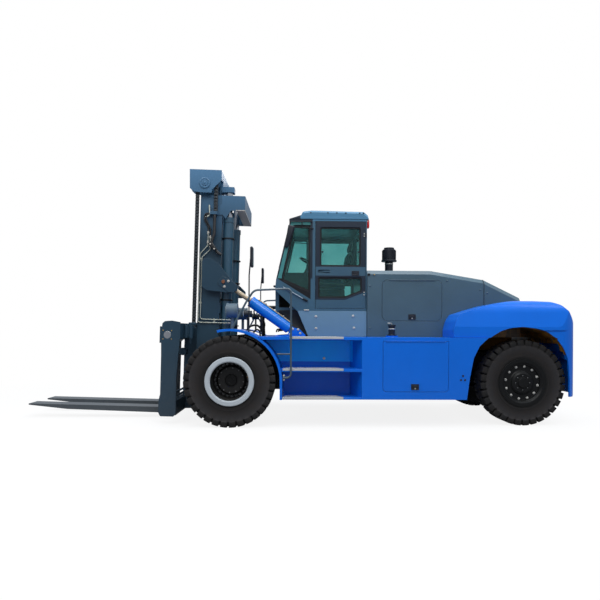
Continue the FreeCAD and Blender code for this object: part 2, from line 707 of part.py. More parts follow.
def build_mirrors():
    pieces = []
    for side in (1, -1):
        y = side * 1440
        stalk = tube_at([(-279, 1402), (-279, 2246), (-300, 2500)], y, [0, 60, 0], 10)
        head = Part.makeBox(44, 150, 300, Vector(-339, y - 75, 2362))
        head = head.makeFillet(18, head.Edges)
        pieces.append(stalk.fuse(head))
    loose_piece("mirrors", pieces)


def build_work_lamps():
    """A drum headlamp on a post on each front fender, and a small round lamp behind it."""
    body = new_body("work_lamps")
    for side in (1, -1):
        y = side * 905
        disc(body, "YZ", -45, 92, y, 1739, 112)
        disc(body, "YZ", 92, 112, y, 1739, 118)
        disc(body, "YZ", -63, -45, y, 1739, 118)
        disc(body, "XY", 1451, 1640, 24, y, 26)
        disc(body, "YZ", -284, -176, y, 1686, 52)
        disc(body, "YZ", -176, -158, y, 1686, 62)
        disc(body, "XY", 1424, 1650, -220, y, 16)
    on_truck(body)


def build_valve_hoses():
    """Rubber hoses that rise from the control valve between the fenders to the cab and the axle."""
    hoses = []
    arch = [(-127, 1132), (-135, 1400), (-215, 1500), (-330, 1525), (-410, 1440), (-428, 1274)]
    hoses.append(tube_at(arch, 350, [0, 90, 70, 90, 90, 0], 17))
    loop = [(-260, 1217), (-255, 1380), (-300, 1450), (-365, 1430), (-389, 1133)]
    for y in (240, 180):
        hoses.append(tube_at(loop, y, [0, 50, 50, 60, 0], 13))
    trunk = [(-638, 1820), (-425, 1824), (-405, 1600), (-428, 1275)]
    for y, radius in ((300, 24), (120, 20), (-180, 20)):
        hoses.append(tube_at(trunk, y, [0, 90, 200, 0], radius))
    low = [(-205, 1219), (-190, 1330), (-140, 1370), (-104, 1300), (-110, 1133)]
    for y in (80, -60, -240):
        hoses.append(tube_at(low, y, [0, 40, 30, 40, 0], 13))
    loose_piece("valve_hoses", hoses)


# ---- mast --------------------------------------------------------------------------------------

def build_outer_mast():
    body = new_body("outer_mast")
    rear, front = size("rail_rear"), size("rail_front")
    outer, inner = size("rail_outer_y"), size("rail_inner_y")
    foot, top = size("rail_foot"), size("outer_top")
    channel = [(rear, inner), (rear, outer), (front, outer), (front, inner), (front - 45, inner),
               (front - 45, outer - 35), (rear + 45, outer - 35), (rear + 45, inner)]
    for side in (1, -1):
        slab(body, "XY", "rail_foot", "outer_top", [(x, side * y) for x, y in channel])
        add_mast_head_side(body, side, top)
        add_tilt_bracket(body, side)
        add_pivot_cheeks(body, side)
        seat = [(rear, 330), (rear, 120), (-120, 300), (-120, 330)]
        slab(body, "XZ", *sides(side, 490, 640), seat)
    slab(body, "YZ", 0, rear, box(-outer, outer, foot, foot + 200))
    slab(body, "YZ", 32, rear, box(-outer, outer, 1150, 1290))
    slab(body, "YZ", -20, 32, box(-470, 470, 1150, 1290))
    slab(body, "YZ", -316, -180, box(-outer - 15, outer + 15, 2800, top))
    on_mast(body)


def add_mast_head_side(body, side, top):
    """Side plate of the head, and the shelf below it that anchors the lift chain."""
    plate = [(-181, 2800), (-90, 2800), (-10, 2665), (43, 2728), (235, 2721), (235, 2769), (60, 2904),
             (60, top), (-181, top)]
    slab(body, "XZ", *sides(side, "rail_outer_y", "rail_outer_y + 15"), plate)
    slab(body, "XZ", *sides(side, "rail_outer_y", "chain_y + 35"), box(120, 235, 2721, 2769))


def add_tilt_bracket(body, side):
    """Two plates and a spacer on the rail, with a stiffener and the pin of the tilt cylinder."""
    plate = [(335, 1959), (304, 2008), (192, 2012), (61, 1920), (-90, 1731), (-239, 1590), (-241, 1509),
             (-162, 1466), (242, 1500), (323, 1557)]
    for low, high in ((660, 672), (752, 772)):
        slab(body, "XZ", *sides(side, low, high), plate, {1: 60, 2: 80, 5: 40, 6: 20, 7: 40})
    slab(body, "XZ", *sides(side, 672, 752), [(330, 1900), (230, 1960), (230, 1540), (310, 1570)])
    stiffener = [(76, 1643), (3, 1729), (-89, 1697), (-236, 1589), (-189, 1469), (-108, 1478),
                 (59, 1589)]
    slab(body, "XZ", *sides(side, 772, 782), stiffener, {3: 20, 4: 20})
    disc(body, "XZ", *sides(side, 660, 788), -15, 1643, "tilt_pin_radius")


def add_pivot_cheeks(body, side):
    """Two cheeks either side of the frame's nose, with the pin that the mast tilts on."""
    cheek = [(-75, -75), (49, -200), (49, 75), (-75, 75)]
    for low, high in ((396, 424), (476, 504)):
        slab(body, "XZ", *sides(side, low, high), cheek, {0: 70, 3: 70})
    disc(body, "XZ", *sides(side, 396, 504), 0, 0, 50)


def build_mast_pipes():
    """Two zinc pipes down the flank of the left rail, with the clamps that hold them."""
    high = [(262, 2400), (262, 2225), (385, 2085), (385, 985), (-132, 985)]
    low = [(225, 2330), (225, 2160), (350, 2030), (350, 1037), (-147, 1037)]
    flank, middle = size("rail_outer_y"), size("pipe_y")
    pieces = [tube_at(route, middle, [0, 40, 40, 40, 0], 8) for route in (high, low)]
    for x, z, length, height in ((338, 1290, 56, 30), (338, 2000, 56, 24), (110, 972, 30, 78)):
        pieces.append(Part.makeBox(length, 12, height, Vector(x, flank, z)))
    pieces.append(Part.makeBox(30, 30, 30, Vector(92, flank, 2100)))
    for x, z in ((262, 2400), (225, 2330)):
        pieces.append(Part.makeCylinder(13, 46, Vector(x, middle, z)))
    loose_piece("mast_pipes", pieces, on_mast)


def build_mast_hoses():
    """Rubber hoses from the pipes up to the chain anchor, and a sleeved bundle along the rail."""
    front = [(262, 680, 2447), (262, 680, 2520), (335, 680, 2650), (320, 680, 2737), (237, 680, 2750)]
    rear = [(225, 680, 2377), (225, 690, 2500), (300, 706, 2640), (288, 706, 2712), (240, 706, 2732)]
    bundle = [(160, 714, 2719), (160, 714, 2400), (205, 714, 2265), (105, 714, 2120), (40, 714, 2080)]
    pieces = []
    for route, bends, radius in ((front, [0, 60, 60, 40, 0], 11), (rear, [0, 60, 50, 30, 0], 11),
                                 (bundle, [0, 120, 60, 60, 0], 24)):
        pieces.append(bent_tube([Vector(*point) for point in route], bends, radius))
    loose_piece("mast_hoses", pieces, on_mast)


def build_lift_barrels():
    body = new_body("lift_barrels")
    for side in (1, -1):
        y = side * size("lift_cylinder_y")
        disc(body, "XY", 331, 2620, -50, y, "lift_barrel_radius")
        disc(body, "XY", 2620, 2700, -50, y, "lift_barrel_radius + 8")
        disc(body, "XY", 2500, 2701, -50, y, "lift_rod_radius + 1", cut=True)
    on_mast(body)


def build_inner_mast():
    body = new_body("inner_mast")
    rear, front, top = 75, 375, size("inner_top")
    beam = [(rear, 440), (rear, 534), (rear + 40, 534), (rear + 40, 500), (front - 40, 500),
            (front - 40, 534), (front, 534), (front, 440), (front - 40, 440), (front - 40, 478),
            (rear + 40, 478), (rear + 40, 440)]
    cheek = [(63, top), (59, 3272), (213, 3106), (213, 3060), (400, 3060), (465, 3070), (514, 3078),
             (564, 3125), (573, top)]
    for side in (1, -1):
        slab(body, "XY", "rail_foot + 20", "inner_top - 40", [(x, side * y) for x, y in beam])
        disc(body, "XZ", *sides(side, 500, 620), 225, -180, 124)
        slab(body, "XZ", *sides(side, 736, 756), cheek)
        slab(body, "XZ", *sides(side, 534, 556), cheek)
        slab(body, "XZ", *sides(side, 534, 756), box(64, 100, 3280, top))
        slab(body, "XZ", *sides(side, 470, 640), box(-130, 64, 3102, 3190))
        disc(body, "XZ", *sides(side, 556, 770), 328, 3213, 42)
    slab(body, "YZ", 64, 110, box(-540, 540, 3106, top))
    for foot, head in ((-300, -120), (1400, 1560)):
        slab(body, "YZ", 76, 112, box(-470, 470, foot, head))
    slab(body, "XY", "inner_top - 20", "inner_top", box(64, 560, -556, 556))
    on_mast(body)


def build_lift_rods():
    body = new_body("lift_rods")
    for side in (1, -1):
        disc(body, "XY", 2520, 3102, -50, side * size("lift_cylinder_y"), "lift_rod_radius")
    on_mast(body)


def build_chain_sheaves():
    body = new_body("chain_sheaves")
    for side in (1, -1):
        disc(body, "XZ", *sides(side, 672, 728), 328, 3213, 150)
        disc(body, "XZ", *sides(side, 671, 729), 328, 3213, 42.5, cut=True)
    on_mast(body)


def build_chains():
    rear = new_body("rear_chains")
    front = new_body("front_chains")
    for side in (1, -1):
        slab(rear, "XZ", *sides(side, 681, 719), box(162, 177, 2770, 3213))
        slab(front, "XZ", *sides(side, 681, 719), box(479, 506, 961, 3213))
    on_mast(rear)
    on_mast(front)


def build_carriage():
    body = new_body("carriage")
    half = size("carriage_half")
    end_plate = [(829, 953), (792, 985), (688, 995), (566, 976), (566, 703), (600, 111), (593, -419),
                 (629, -460), (825, -460), (856, -403), (855, -214), (834, -122), (837, 469), (847, 802)]
    roller_plate = [(130, -420), (640, -440), (640, 900), (560, 960), (130, 700)]
    for side in (1, -1):
        slab(body, "XZ", *sides(side, half - 40, half), end_plate, {1: 30, 8: 30, 9: 20})
        slab(body, "XZ", *sides(side, 385, 425), roller_plate)
        for z in (-200, 560):
            disc(body, "XZ", *sides(side, 425, 474), 225, z, 105)
        add_chain_anchor(body, side)
        add_buffer(body, side)
    slab(body, "XY", 720, 960, box(560, 650, -half, half))
    slab(body, "XY", -440, -220, box(595, 700, -half, half))
    middle_plate = [(600, -430), (700, -430), (700, 700), (840, 740), (840, 900), (600, 950)]
    slab(body, "XZ", -25, 25, middle_plate)
    add_fork_positioner(body, half)
    for side in (1, -1):
        near, far = sides(side, half - 45, half + 5)
        disc(body, "XZ", near, far, 752, 778, "fork_shaft_radius", cut=True)
    disc(body, "XZ", -26, 26, 752, 778, "fork_shaft_radius", cut=True)
    on_mast(body)


def add_chain_anchor(body, side):
    """Block that the lift chain pulls on, with the end of its threaded rod below."""
    slab(body, "XZ", *sides(side, 665, 735), [(470, 880), (566, 800), (566, 960), (470, 960)])
    disc(body, "XY", 712, 885, 492, side * size("chain_y"), 15)


def add_buffer(body, side):
    """Two upright round buffers behind the top beam, on one web."""
    for x in (528, 452):
        disc(body, "XY", 735, 930, x, side * 900, 36)
    slab(body, "XZ", *sides(side, 880, 920), box(452, 570, 760, 905))


def add_fork_positioner(body, half):
    """Cross cylinder with its two glands, and the two guide rods low across the carriage."""
    slab(body, "XZ", -25, 25, box(560, 720, 420, 590))
    disc(body, "XZ", -560, 560, 633, 505, 55)
    for side in (1, -1):
        disc(body, "XZ", *sides(side, 560, 590), 633, 505, 62)
        for z in (-125, -187):
            disc(body, "XZ", *sides(side, 0, half - 30), 668, z, 17)


def build_fork_shafts():
    body = new_body("fork_shafts")
    disc(body, "XZ", "-carriage_half", "carriage_half", 752, 778, "fork_shaft_radius")
    on_mast(body)


def build_fork(side, name):
    body = new_body("%s_fork" % name)
    near, far = sides(side, "fork_y - fork_width / 2", "fork_y + fork_width / 2")
    back, thick = 872, size("fork_thickness")
    bottom = -510
    blade = [(back, bottom), (2500, bottom + 20), (3111, bottom + 72), (3121, bottom + 84),
             (3111, bottom + thick), (back + thick, bottom + thick), (back + thick, 820),
             (back + thick - 40, 870), (820, 870), (820, 690), (back, 640)]
    slab(body, "XZ", near, far, blade, {0: 60, 5: 45, 7: 30})
    near_eye, far_eye = sides(side, "fork_y - 110", "fork_y + 110")
    disc(body, "XZ", near_eye, far_eye, 752, 778, 98)
    near_cut, far_cut = sides(side, "fork_y - fork_width", "fork_y + fork_width")
    disc(body, "XZ", near_cut, far_cut, 752, 778, "fork_shaft_radius + 1", cut=True)
    on_mast(body)


def build_tilt_cylinder(side, name):
    """Barrel hinged on the deck bracket and rod to the mast bracket, drawn along X and then tilted."""
    rear = Vector(-960, 0, 1400)
    lean = math.radians(size("mast_lean"))
    eye_x = size("pivot_x") - 15 * math.cos(lean) - 1643 * math.sin(lean)
    eye_z = size("pivot_z") - 15 * math.sin(lean) + 1643 * math.cos(lean)
    reach = math.hypot(eye_x - rear.x, eye_z - rear.z)
    slope = math.degrees(math.atan2(eye_z - rear.z, eye_x - rear.x))
    turn = FreeCAD.Rotation(Vector(0, 1, 0), -slope)
    barrel = new_body("%s_tilt_barrel" % name)
    disc(barrel, "YZ", 112, 830, 0, 0, 90)
    disc(barrel, "YZ", 830, 866, 0, 0, 94)
    disc(barrel, "XZ", -30, 30, 0, 0, 59)
    slab(barrel, "XZ", -30, 30, box(0, 130, -55, 55))
    disc(barrel, "YZ", 290, 867, 0, 0, "tilt_rod_radius + 1", cut=True)
    disc(barrel, "XZ", -31, 31, 0, 0, "tilt_pin_radius + 1", cut=True)
    rod = new_body("%s_tilt_rod" % name)
    disc(rod, "YZ", 520, reach - 60, 0, 0, "tilt_rod_radius")
    disc(rod, "XZ", -26, 26, reach, 0, 80)
    disc(rod, "XZ", -27, 27, reach, 0, "tilt_pin_radius + 12", cut=True)
    for item in (barrel, rod):
        item.Placement = FreeCAD.Placement(Vector(0, 0, 0), turn)
        bind(item, "Placement.Base.x", "drive_axle_x - 960")
        bind(item, "Placement.Base.y", "%d * tilt_cylinder_y" % side)
        bind(item, "Placement.Base.z", "1400")


# ---- build and write ---------------------------------------------------------------------------

def check_features():
    for item in doc.Objects:
        bad = [state for state in item.State if state in ("Invalid", "Error")]
        if bad:
            raise RuntimeError("%s: %s" % (item.Name, bad))


def write_parts():
    for item in SUBPARTS:
        shape = item.Shape
        if shape.isNull() or not shape.isValid():
            raise RuntimeError("bad shape: " + item.Label)
        shape.exportStep("parts/%s.step" % item.Label)
    print(len(SUBPARTS), "sub-parts written")


def main():
    fill_sheet()
    build_chassis_frame()
    build_drive_axle()
    build_steer_axle()
    for side, name in ((1, "left"), (-1, "right")):
        build_knuckle(side, name + "_knuckle")
        build_front_wheels(side, name)
        build_rear_wheel(side, name)
        build_side_box(side, name)
        build_box_door(side, name)
        build_hatch(side, name)
        build_cab_door(side, name)
        build_fork(side, name)
        build_tilt_cylinder(side, name)
    build_step_treads()
    build_front_fenders()
    build_counterweight()
    build_engine_hood()
    build_engine_block()
    build_pre_cleaner()
    build_cab_shell()
    build_cab_roof()
    build_cab_glass()
    build_cab_base()
    build_seat()
    build_driver_console()
    build_handrails()
    build_mirrors()
    build_work_lamps()
    build_valve_hoses()
    build_steering_wheel()
    build_outer_mast()
    build_mast_pipes()
    build_mast_hoses()
    build_lift_barrels()
    build_inner_mast()
    build_lift_rods()
    build_chain_sheaves()
    build_chains()
    build_carriage()
    build_fork_shafts()
    doc.recompute()
    check_features()
    write_parts()


main()
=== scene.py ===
import json
import math

import bmesh
import bpy
from mathutils import Matrix, Vector


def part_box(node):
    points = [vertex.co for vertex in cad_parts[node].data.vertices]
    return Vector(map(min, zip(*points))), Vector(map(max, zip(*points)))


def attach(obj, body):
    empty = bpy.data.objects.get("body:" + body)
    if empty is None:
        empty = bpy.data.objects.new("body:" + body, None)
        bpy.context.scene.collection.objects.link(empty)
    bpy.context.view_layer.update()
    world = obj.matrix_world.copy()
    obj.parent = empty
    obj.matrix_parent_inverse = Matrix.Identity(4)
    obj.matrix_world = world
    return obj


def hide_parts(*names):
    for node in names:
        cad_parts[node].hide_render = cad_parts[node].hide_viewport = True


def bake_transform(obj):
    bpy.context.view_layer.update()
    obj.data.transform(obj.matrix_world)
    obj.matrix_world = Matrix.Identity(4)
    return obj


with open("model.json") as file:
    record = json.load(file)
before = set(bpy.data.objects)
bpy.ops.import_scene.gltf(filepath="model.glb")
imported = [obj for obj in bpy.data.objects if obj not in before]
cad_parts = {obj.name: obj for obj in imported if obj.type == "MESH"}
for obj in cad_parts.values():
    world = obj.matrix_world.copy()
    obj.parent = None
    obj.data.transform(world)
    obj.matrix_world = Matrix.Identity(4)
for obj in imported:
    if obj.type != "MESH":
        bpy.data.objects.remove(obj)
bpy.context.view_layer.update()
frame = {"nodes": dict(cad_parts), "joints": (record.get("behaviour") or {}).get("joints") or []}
joint = {item["name"]: item for item in frame["joints"]}
axle = Vector(joint["front_left_spin"]["pos_m"])
steer = Vector(joint["rear_left_spin"]["pos_m"])
SIDES = (("left", 1), ("right", -1))

# ---- Studio ------------------------------------------------------------------------------------
# A pale floor under an even white sky, broad soft lights above and a weak fill on each flank.
# The lens stands on the left side at chest height, almost square to the truck's length.
scene = bpy.context.scene
scene.view_settings.view_transform = "Standard"


def plug(made, *ports, **values):
    """Sets a node by input order or name: nodes and sockets are linked, the rest are plain values."""
    for key, value in (*enumerate(ports), *values.items()):
        name = key if isinstance(key, int) else key.replace("_", " ")
        if isinstance(name, str) and name not in made.inputs:
            setattr(made, key, value)
            continue
        if isinstance(value, bpy.types.Node):
            value = value.outputs[0]
        if isinstance(value, bpy.types.NodeSocket):
            made.id_data.links.new(value, made.inputs[name])
        else:
            made.inputs[name].default_value = value
    return made


def node(owner, kind, *ports, **values):
    return plug(owner.node_tree.nodes.new("ShaderNode" + kind), *ports, **values)


def ramp(owner, source, *stops):
    """Colour ramp over a pattern, each stop a position and a colour."""
    made = node(owner, "ValToRGB", source)
    elements = made.color_ramp.elements
    while len(elements) < len(stops):
        elements.new(0.5)
    for stop, (position, colour) in zip(elements, stops):
        stop.position = position
        stop.color = (*colour, 1)
    return made


def product(owner, first, second):
    return node(owner, "Math", first, second, operation="MULTIPLY")


def seen_by_lens(owner):
    """One for rays from the lens, also when they have passed through glass."""
    paths = node(owner, "LightPath")
    return node(owner, "Math", paths.outputs["Is Camera Ray"], paths.outputs["Is Transmission Ray"],
                operation="MAXIMUM")


def blank(name):
    """A new material, its shader, and the object coordinates that its patterns follow."""
    made = bpy.data.materials.new(name)
    made.use_nodes = True
    return made, made.node_tree.nodes["Principled BSDF"], node(made, "TexCoord").outputs["Object"]


sky = bpy.data.worlds.new("studio_sky")
sky.use_nodes = True
scene.world = sky
sky_split = node(sky, "SeparateXYZ", node(sky, "TexCoord").outputs["Generated"])
sky_rise = node(sky, "MapRange", sky_split.outputs["Z"], From_Min=-1)
sky_tone = ramp(sky, sky_rise, (0.35, (0.20, 0.205, 0.22)), (0.95, (0.62, 0.68, 0.76)))
plug(sky.node_tree.nodes["Background"],
     Color=node(sky, "MixRGB", seen_by_lens(sky), sky_tone, Color2=(1, 1, 1, 1)))

bpy.ops.object.select_all(action="DESELECT")
bpy.ops.mesh.primitive_plane_add(size=160, location=(0, 0, -0.001))
floor = bpy.context.object
floor.name = "studio_floor"
bpy.ops.object.transform_apply()
floor_paint, floor_shader, floor_place = blank("floor_paint")
floor_seen = seen_by_lens(floor_paint)
floor_tone = node(floor_paint, "MixRGB", floor_seen, Color1=(0.26, 0.26, 0.27, 1),
                  Color2=(0.80, 0.80, 0.80, 1))
plug(floor_shader, Base_Color=floor_tone, Roughness=0.9)
floor_reach = node(floor_paint, "VectorMath", floor_place, operation="LENGTH").outputs["Value"]
floor_fade = node(floor_paint, "MapRange", floor_reach, From_Min=3.5, From_Max=9.0, To_Min=0.86)
floor_glow = node(floor_paint, "Emission", Color=(1, 1, 1, 1))
floor_share = product(floor_paint, floor_seen, floor_fade)
plug(floor_paint.node_tree.nodes["Material Output"],
     Surface=node(floor_paint, "MixShader", floor_share, floor_shader, floor_glow))
floor.data.materials.append(floor_paint)


def soft_light(name, place, target, size, power, colour):
    bpy.ops.object.light_add(type="AREA", location=place)
    lamp = bpy.context.object
    lamp.name = name
    lamp.data.shape = "DISK"
    lamp.data.size = size
    lamp.data.energy = power
    lamp.data.color = colour
    lamp.visible_transmission = False
    lamp.rotation_euler = (Vector(target) - Vector(place)).to_track_quat("-Z", "Y").to_euler()


soft_light("key_light", (5.5, 7.5, 11.0), (0, 0, 1.2), 7.0, 520, (1.0, 0.98, 0.95))
soft_light("top_light", (-0.8, 0.6, 9.0), (-0.8, 0.6, 0), 9.0, 520, (0.93, 0.97, 1.0))
soft_light("rear_light", (-9.0, 3.0, 9.0), (-2, 0, 1.5), 6.0, 300, (0.90, 0.95, 1.0))
soft_light("side_light", (-2.0, 10.5, 10.5), (0, 0, 1.0), 7.0, 620, (1, 1, 1))
soft_light("far_light", (-1.0, -11.0, 10.0), (0, 0, 1.0), 7.0, 560, (0.97, 0.98, 1.0))

VIEW_YAW = math.radians(1.5)
VIEW_ROLL = math.radians(0.3)
VIEW_DISTANCE = 9.75
VIEW_HEIGHT = 1.439
ahead = Vector((-math.sin(VIEW_YAW), -math.cos(VIEW_YAW), 0))
level = ahead.cross(Vector((0, 0, 1)))
right = level * math.cos(VIEW_ROLL) + Vector((0, 0, 1)) * math.sin(VIEW_ROLL)
above = right.cross(ahead)
bpy.ops.object.camera_add()
camera = bpy.context.object
camera.matrix_world = Matrix((
    (right.x, above.x, -ahead.x, 0.0),
    (right.y, above.y, -ahead.y, VIEW_DISTANCE),
    (right.z, above.z, -ahead.z, VIEW_HEIGHT),
    (0, 0, 0, 1)))
camera.data.sensor_width = 36
camera.data.lens = 33.66
camera.data.shift_x = -0.0145
camera.data.shift_y = 0.05
camera.data.clip_end = 300
scene.camera = camera

# ---- Chassis frame and axles -------------------------------------------------------------------
# Welded plate frame, drive axle and steer axle, brushed with satin black chassis paint.
# Road dust has gathered low down, and the edges have rubbed through.
DUST = (0.20, 0.165, 0.125)


def tint(colour, gain):
    return tuple(min(1.0, part * gain) for part in colour)


def over(owner, last, share, colour):
    """Lays a colour over the last one, as much as the share says."""
    return node(owner, "MixRGB", share, last, Color2=(*colour, 1))


def paint(name, colour, rough=0.35, coat=0.0, metal=0.0, dust=0.12, grain=0.08, wear=0.35, patch=None,
          shine=0.32):
    """Sprayed paint: slow shade drift, orange peel, dust that rises from the ground, worn edges."""
    made, shader, place = blank(name)
    drift = node(made, "TexNoise", place, Scale=1.7, Detail=4.0, Roughness=0.6)
    fine = node(made, "TexNoise", place, Scale=130.0, Detail=3.0)
    speckle = node(made, "TexNoise", place, Scale=23.0, Detail=6.0, Roughness=0.75)
    last = ramp(made, drift, (0.3, tint(colour, 1 - grain)), (0.72, tint(colour, 1 + grain)))
    if patch:
        last = patch(made, place, last)
    height = node(made, "SeparateXYZ", place).outputs["Z"]
    low = node(made, "MapRange", height, From_Min=1.5, From_Max=0.2)
    last = over(made, last, product(made, product(made, low, speckle), dust * 2), DUST)
    rim = node(made, "Bevel", Radius=0.006, samples=4)
    turn = node(made, "VectorMath", rim, node(made, "NewGeometry").outputs["Normal"], operation="DOT_PRODUCT")
    edge = node(made, "MapRange", turn.outputs["Value"], From_Min=0.99, From_Max=0.80)
    rubbed = product(made, product(made, edge, speckle), wear)
    last = over(made, last, rubbed, tint([part * 0.7 + 0.16 for part in colour], 1))
    gloss = node(made, "MapRange", speckle, To_Min=rough * 0.82, To_Max=min(1.0, rough * 1.25 + dust * 0.3))
    peel = node(made, "Bump", Strength=0.06, Distance=0.002, Height=fine, Normal=rim)
    plug(shader, Base_Color=last, Roughness=gloss, Normal=peel, Metallic=metal, Specular_IOR_Level=shine,
         Coat_Weight=coat, Coat_Roughness=0.08)
    return made


def finish_nodes(material, *names):
    """Gives CAD nodes this finish."""
    for name in names:
        part = frame["nodes"][name]
        part.data.materials.clear()
        part.data.materials.append(material)


frame_paint = paint("frame_paint", (0.009, 0.009, 0.010), rough=0.5, dust=0.16)
axle_paint = paint("axle_paint", (0.012, 0.012, 0.014), rough=0.45, dust=0.2)
engine_paint = paint("engine_paint", (0.03, 0.03, 0.032), rough=0.6, dust=0.3)
finish_nodes(frame_paint, "chassis_frame")
finish_nodes(axle_paint, "drive_axle", "steer_axle", "left_knuckle", "right_knuckle")
finish_nodes(engine_paint, "engine_block")

# ---- Tyres -------------------------------------------------------------------------------------
# Bias-ply industrial tyres of black rubber, moulded in one piece and pressed onto the rims.
# Thirty-two deep lugs a side run over the shoulder, and the two halves are half a lug apart.
LUGS = 32
GROOVE_SHARE = 0.25
GROOVE = 0.032
LUG_REACH = 0.092
CENTRE_RIB = 0.055
BORE = 0.303
TWIN_GAP = 0.058
ALONG_X = (0, math.pi / 2, 0)
ALONG_Y = (math.pi / 2, 0, 0)


def object_mode():
    if bpy.context.mode != "OBJECT":
        bpy.ops.object.mode_set(mode="OBJECT")


def start_piece(name, adder, turn=None, **shape):
    """Adds one primitive, alone selected, with its place and turn already in its mesh."""
    object_mode()
    bpy.ops.object.select_all(action="DESELECT")
    adder(**shape)
    piece = bpy.context.object
    piece.name = name
    if turn:
        piece.rotation_euler = turn
    bpy.ops.object.transform_apply(location=True, rotation=True, scale=True)
    return piece


def drum(name, radius, depth, vertices, location=(0, 0, 0), turn=None):
    return start_piece(name, bpy.ops.mesh.primitive_cylinder_add, turn, vertices=vertices, radius=radius,
                       depth=depth, location=location)


def pick(piece, chosen, kind="FACE"):
    """In edit mode, selects only the faces or edges whose centre and normal pass the test."""
    bpy.ops.mesh.select_mode(type=kind)
    bpy.ops.mesh.select_all(action="DESELECT")
    form = bmesh.from_edit_mesh(piece.data)
    if kind == "FACE":
        for face in form.faces:
            face.select = chosen(face.calc_center_median(), face.normal)
    else:
        for edge in form.edges:
            middle = (edge.verts[0].co + edge.verts[1].co) / 2
            edge.select = chosen(middle, edge)
    form.select_flush_mode()
    bmesh.update_edit_mesh(piece.data)


def inset(*steps):
    """Insets the picked faces step by step, each step a width and a rise."""
    for width, rise in steps:
        bpy.ops.mesh.inset(thickness=width, depth=rise)


def apply_modifier(piece, kind, **settings):
    bpy.context.view_layer.objects.active = piece
    made = piece.modifiers.new(kind.lower(), kind)
    for key, value in settings.items():
        setattr(made, key, value)
    bpy.ops.object.modifier_apply(modifier=made.name)


def settle(piece, material, body, smooth=30):
    """Last steps of a finished piece: material, shading, and its body; pieces that bend are given none."""
    object_mode()
    piece.data.materials.clear()
    piece.data.materials.append(material)
    bpy.ops.object.select_all(action="DESELECT")
    piece.select_set(True)
    bpy.context.view_layer.objects.active = piece
    bpy.ops.object.shade_smooth_by_angle(angle=math.radians(smooth))
    if body:
        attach(piece, body)
    return piece


def wheel_radius(owner, place, centre):
    """Distance of a point from a wheel's axis, for patterns that run round the wheel."""
    centred = node(owner, "Mapping", place, Location=(-centre.x, 0, -centre.z), Scale=(1, 0, 1))
    return node(owner, "VectorMath", centred, operation="LENGTH").outputs["Value"]


def rubber(name, centre):
    """Black tyre rubber: a paler band painted round the sidewall's bulge under the lugs as painted highlight,
    brown dust, fine moulded grain.
    """
    made, shader, place = blank(name)
    ring = node(made, "MapRange", wheel_radius(made, place, centre), From_Max=centre.z)
    # Painted highlight: the band from 0.70 to 0.87 of the radius is paler for the light that the sidewall's
    # bulge catches.
    ring_tones_and_sheen = ramp(made, ring, (0.0, (0.006, 0.006, 0.007)), (0.56, (0.008, 0.008, 0.008)),
                 (0.70, (0.017, 0.015, 0.015)), (0.80, (0.024, 0.023, 0.024)), (0.87, (0.032, 0.030, 0.031)),
                 (0.885, (0.010, 0.010, 0.010)), (0.985, (0.016, 0.015, 0.015)), (1.0, (0.026, 0.025, 0.025)))
    cloud = node(made, "TexNoise", place, Scale=7.0, Detail=6.0, Roughness=0.7)
    grain = node(made, "TexNoise", place, Scale=210.0, Detail=4.0)
    share = node(made, "MapRange", cloud, From_Min=0.45, From_Max=0.80, To_Max=0.42)
    dull = node(made, "MapRange", cloud, To_Min=0.62, To_Max=0.86)
    skin = node(made, "Bump", Strength=0.25, Distance=0.002, Height=grain)
    plug(shader, Base_Color=over(made, ring_tones_and_sheen, share, (0.032, 0.024, 0.019)), Roughness=dull, Normal=skin,
         Specular_IOR_Level=0.22)
    return made


def build_tyre(name, centre, middle, width, material, body):
    """One tyre from a drum: side walls inset ring by ring, bore bridged, grooves sunk, lugs bevelled."""
    tread = centre.z
    piece = drum(name, tread, width * 0.93, 4 * LUGS, (centre.x, middle, centre.z), ALONG_Y)
    bpy.ops.object.mode_set(mode="EDIT")
    for cut in (-CENTRE_RIB, 0.0, CENTRE_RIB):
        bpy.ops.mesh.select_all(action="SELECT")
        bpy.ops.mesh.bisect(plane_co=(centre.x, middle + cut, centre.z), plane_no=(0, 1, 0))
    wall = ((0.026, 0.010), (0.030, 0.002), (0.027, -0.001), (0.006, -0.005), (0.070, -0.001),
            (0.075, -0.012), (0.006, 0.004), (0.060, -0.020))
    bead = tread - BORE - sum(step for step, rise in wall)
    for side in (1, -1):
        pick(piece, lambda place, normal: normal.y * side > 0.99)
        inset(*wall, (bead, -0.006))
        bpy.ops.mesh.delete(type="FACE")
    pick(piece, lambda place, edge: edge.is_boundary, "EDGE")
    bpy.ops.mesh.bridge_edge_loops()
    for side, shift in ((1, 0.0), (-1, 0.5)):
        def in_groove(place, normal):
            around = math.atan2(place.z - centre.z, place.x - centre.x) / math.tau * LUGS
            reach = math.hypot(place.x - centre.x, place.z - centre.z)
            return ((around % 1.0 + shift) % 1.0 < GROOVE_SHARE and (place.y - middle) * side > CENTRE_RIB
                    and reach > tread - LUG_REACH)
        pick(piece, in_groove)
        inset((0.006, -GROOVE))
    bpy.ops.mesh.select_all(action="SELECT")
    bpy.ops.mesh.normals_make_consistent(inside=False)
    bpy.ops.object.mode_set(mode="OBJECT")
    apply_modifier(piece, "BEVEL", width=0.005, segments=1, limit_method="ANGLE",
                   angle_limit=math.radians(38))
    return settle(piece, material, body, 40)


